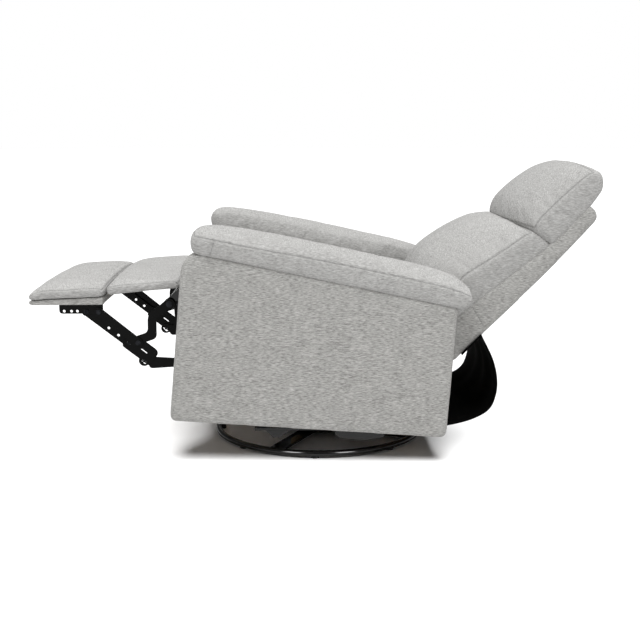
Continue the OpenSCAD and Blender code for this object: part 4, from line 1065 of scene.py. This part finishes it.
FLOOR_SEEN, FLOOR_SENT_BACK = 0.80, 0.47
SKY_FILL, SKY_IN_GLOSS = 0.24, 0.08
LEFT_STAND, RIGHT_STAND = (2.75, -1.55, 1.5), (2.75, 1.45, 1.5)
BODY_AIM, RING_AIM = (0, 0, 0.35), (0, 0, 0.05)
NO_SHADOW_ON_FLOOR = ("back", "headrest", "flap", "footrest", "rear_dust",
                      "long_link", "short_link", "lower_link", "drive_link")

disc = bmesh.new()
bmesh.ops.create_circle(disc, cap_ends=True, segments=96, radius=40)
floor = from_bmesh(disc, "studio_floor")
paper, paper_shader, _ = new_material("white paper floor", Roughness=0.95)
paper_shader.inputs["Specular IOR Level"].default_value = 0.0
paths = add(paper, "ShaderNodeLightPath")
# White where it is looked at, a little darker for the light that it sends back under the chair.
tone = add(paper, "ShaderNodeMapRange",
           {0: paths.outputs["Is Camera Ray"], 3: FLOOR_SENT_BACK, 4: FLOOR_SEEN}).outputs[0]
paper.node_tree.links.new(tone, paper_shader.inputs["Base Color"])
floor.data.materials.append(paper)

world = bpy.data.worlds.new("studio")
scene.world = world
world.use_nodes = True
world.node_tree.nodes.clear()
paths = add(world, "ShaderNodeLightPath")
# White to the camera; dim in the gloss of the black steel; plain studio fill for everything else.
sky_fill = add(world, "ShaderNodeMapRange",
               {0: paths.outputs["Is Glossy Ray"], 3: SKY_FILL, 4: SKY_IN_GLOSS}).outputs[0]
level = add(world, "ShaderNodeMix", {0: paths.outputs["Is Camera Ray"], 2: sky_fill, 3: 1.0},
            data_type="FLOAT").outputs[0]
sky = add(world, "ShaderNodeBackground", {"Color": (1, 1, 1, 1), "Strength": level})
add(world, "ShaderNodeOutputWorld", {0: sky.outputs[0]})


def softbox(name, place, aim, size, power):
    """An area lamp on a stand, turned to what it lights."""
    lamp = bpy.data.objects.new(name, bpy.data.lights.new(name, "AREA"))
    lamp.data.shape, lamp.data.size, lamp.data.size_y, lamp.data.energy = "RECTANGLE", *size, power
    lamp.location = place
    lamp.rotation_euler = (Vector(aim) - Vector(place)).to_track_quat("-Z", "Y").to_euler()
    scene.collection.objects.link(lamp)
    return lamp


def ceiling(name, power, angle, lean):
    """Light from all over a wide ceiling panel, which leans a little to the near side."""
    lamp = bpy.data.objects.new(name, bpy.data.lights.new(name, "SUN"))
    lamp.data.energy, lamp.data.angle = power, math.radians(angle)
    lamp.rotation_euler = Vector((lean, 0.0, 1.0)).to_track_quat("Z", "Y").to_euler()
    scene.collection.objects.link(lamp)
    return lamp


# The chair's lamps are flagged off the floor, and on the floor only the body and base leave their shadow.
chair_light = ceiling("studio ceiling light", 3.15, 68, 0.10)
floor_light = ceiling("studio floor light", 5.6, 28, 0.72)
left_box = softbox("left side softbox", LEFT_STAND, BODY_AIM, (0.8, 1.8), 14)
right_box = softbox("right side softbox", RIGHT_STAND, BODY_AIM, (0.8, 1.8), 18)
left_strip = softbox("left ring strip", LEFT_STAND, RING_AIM, (1.0, 1.8), 40)
right_strip = softbox("right ring strip", RIGHT_STAND, RING_AIM, (1.0, 1.8), 40)
ring = bpy.data.collections.new("ring")
ring.objects.link(nodes["base_ring"])
chair = bpy.data.collections.new("chair")
shading = bpy.data.collections.new("body and base")
ground = bpy.data.collections.new("ground")
ground.objects.link(floor)
for piece in list(scene.objects):
    if piece.type == "MESH" and piece is not floor:
        chair.objects.link(piece)
        if not piece.name.startswith(NO_SHADOW_ON_FLOOR):
            shading.objects.link(piece)
for lamp in (chair_light, left_box, right_box):
    lamp.light_linking.receiver_collection = chair
for lamp in (left_strip, right_strip):
    lamp.light_linking.receiver_collection = ring
floor_light.light_linking.receiver_collection = ground
floor_light.light_linking.blocker_collection = shading

scene.view_settings.view_transform = "Standard"
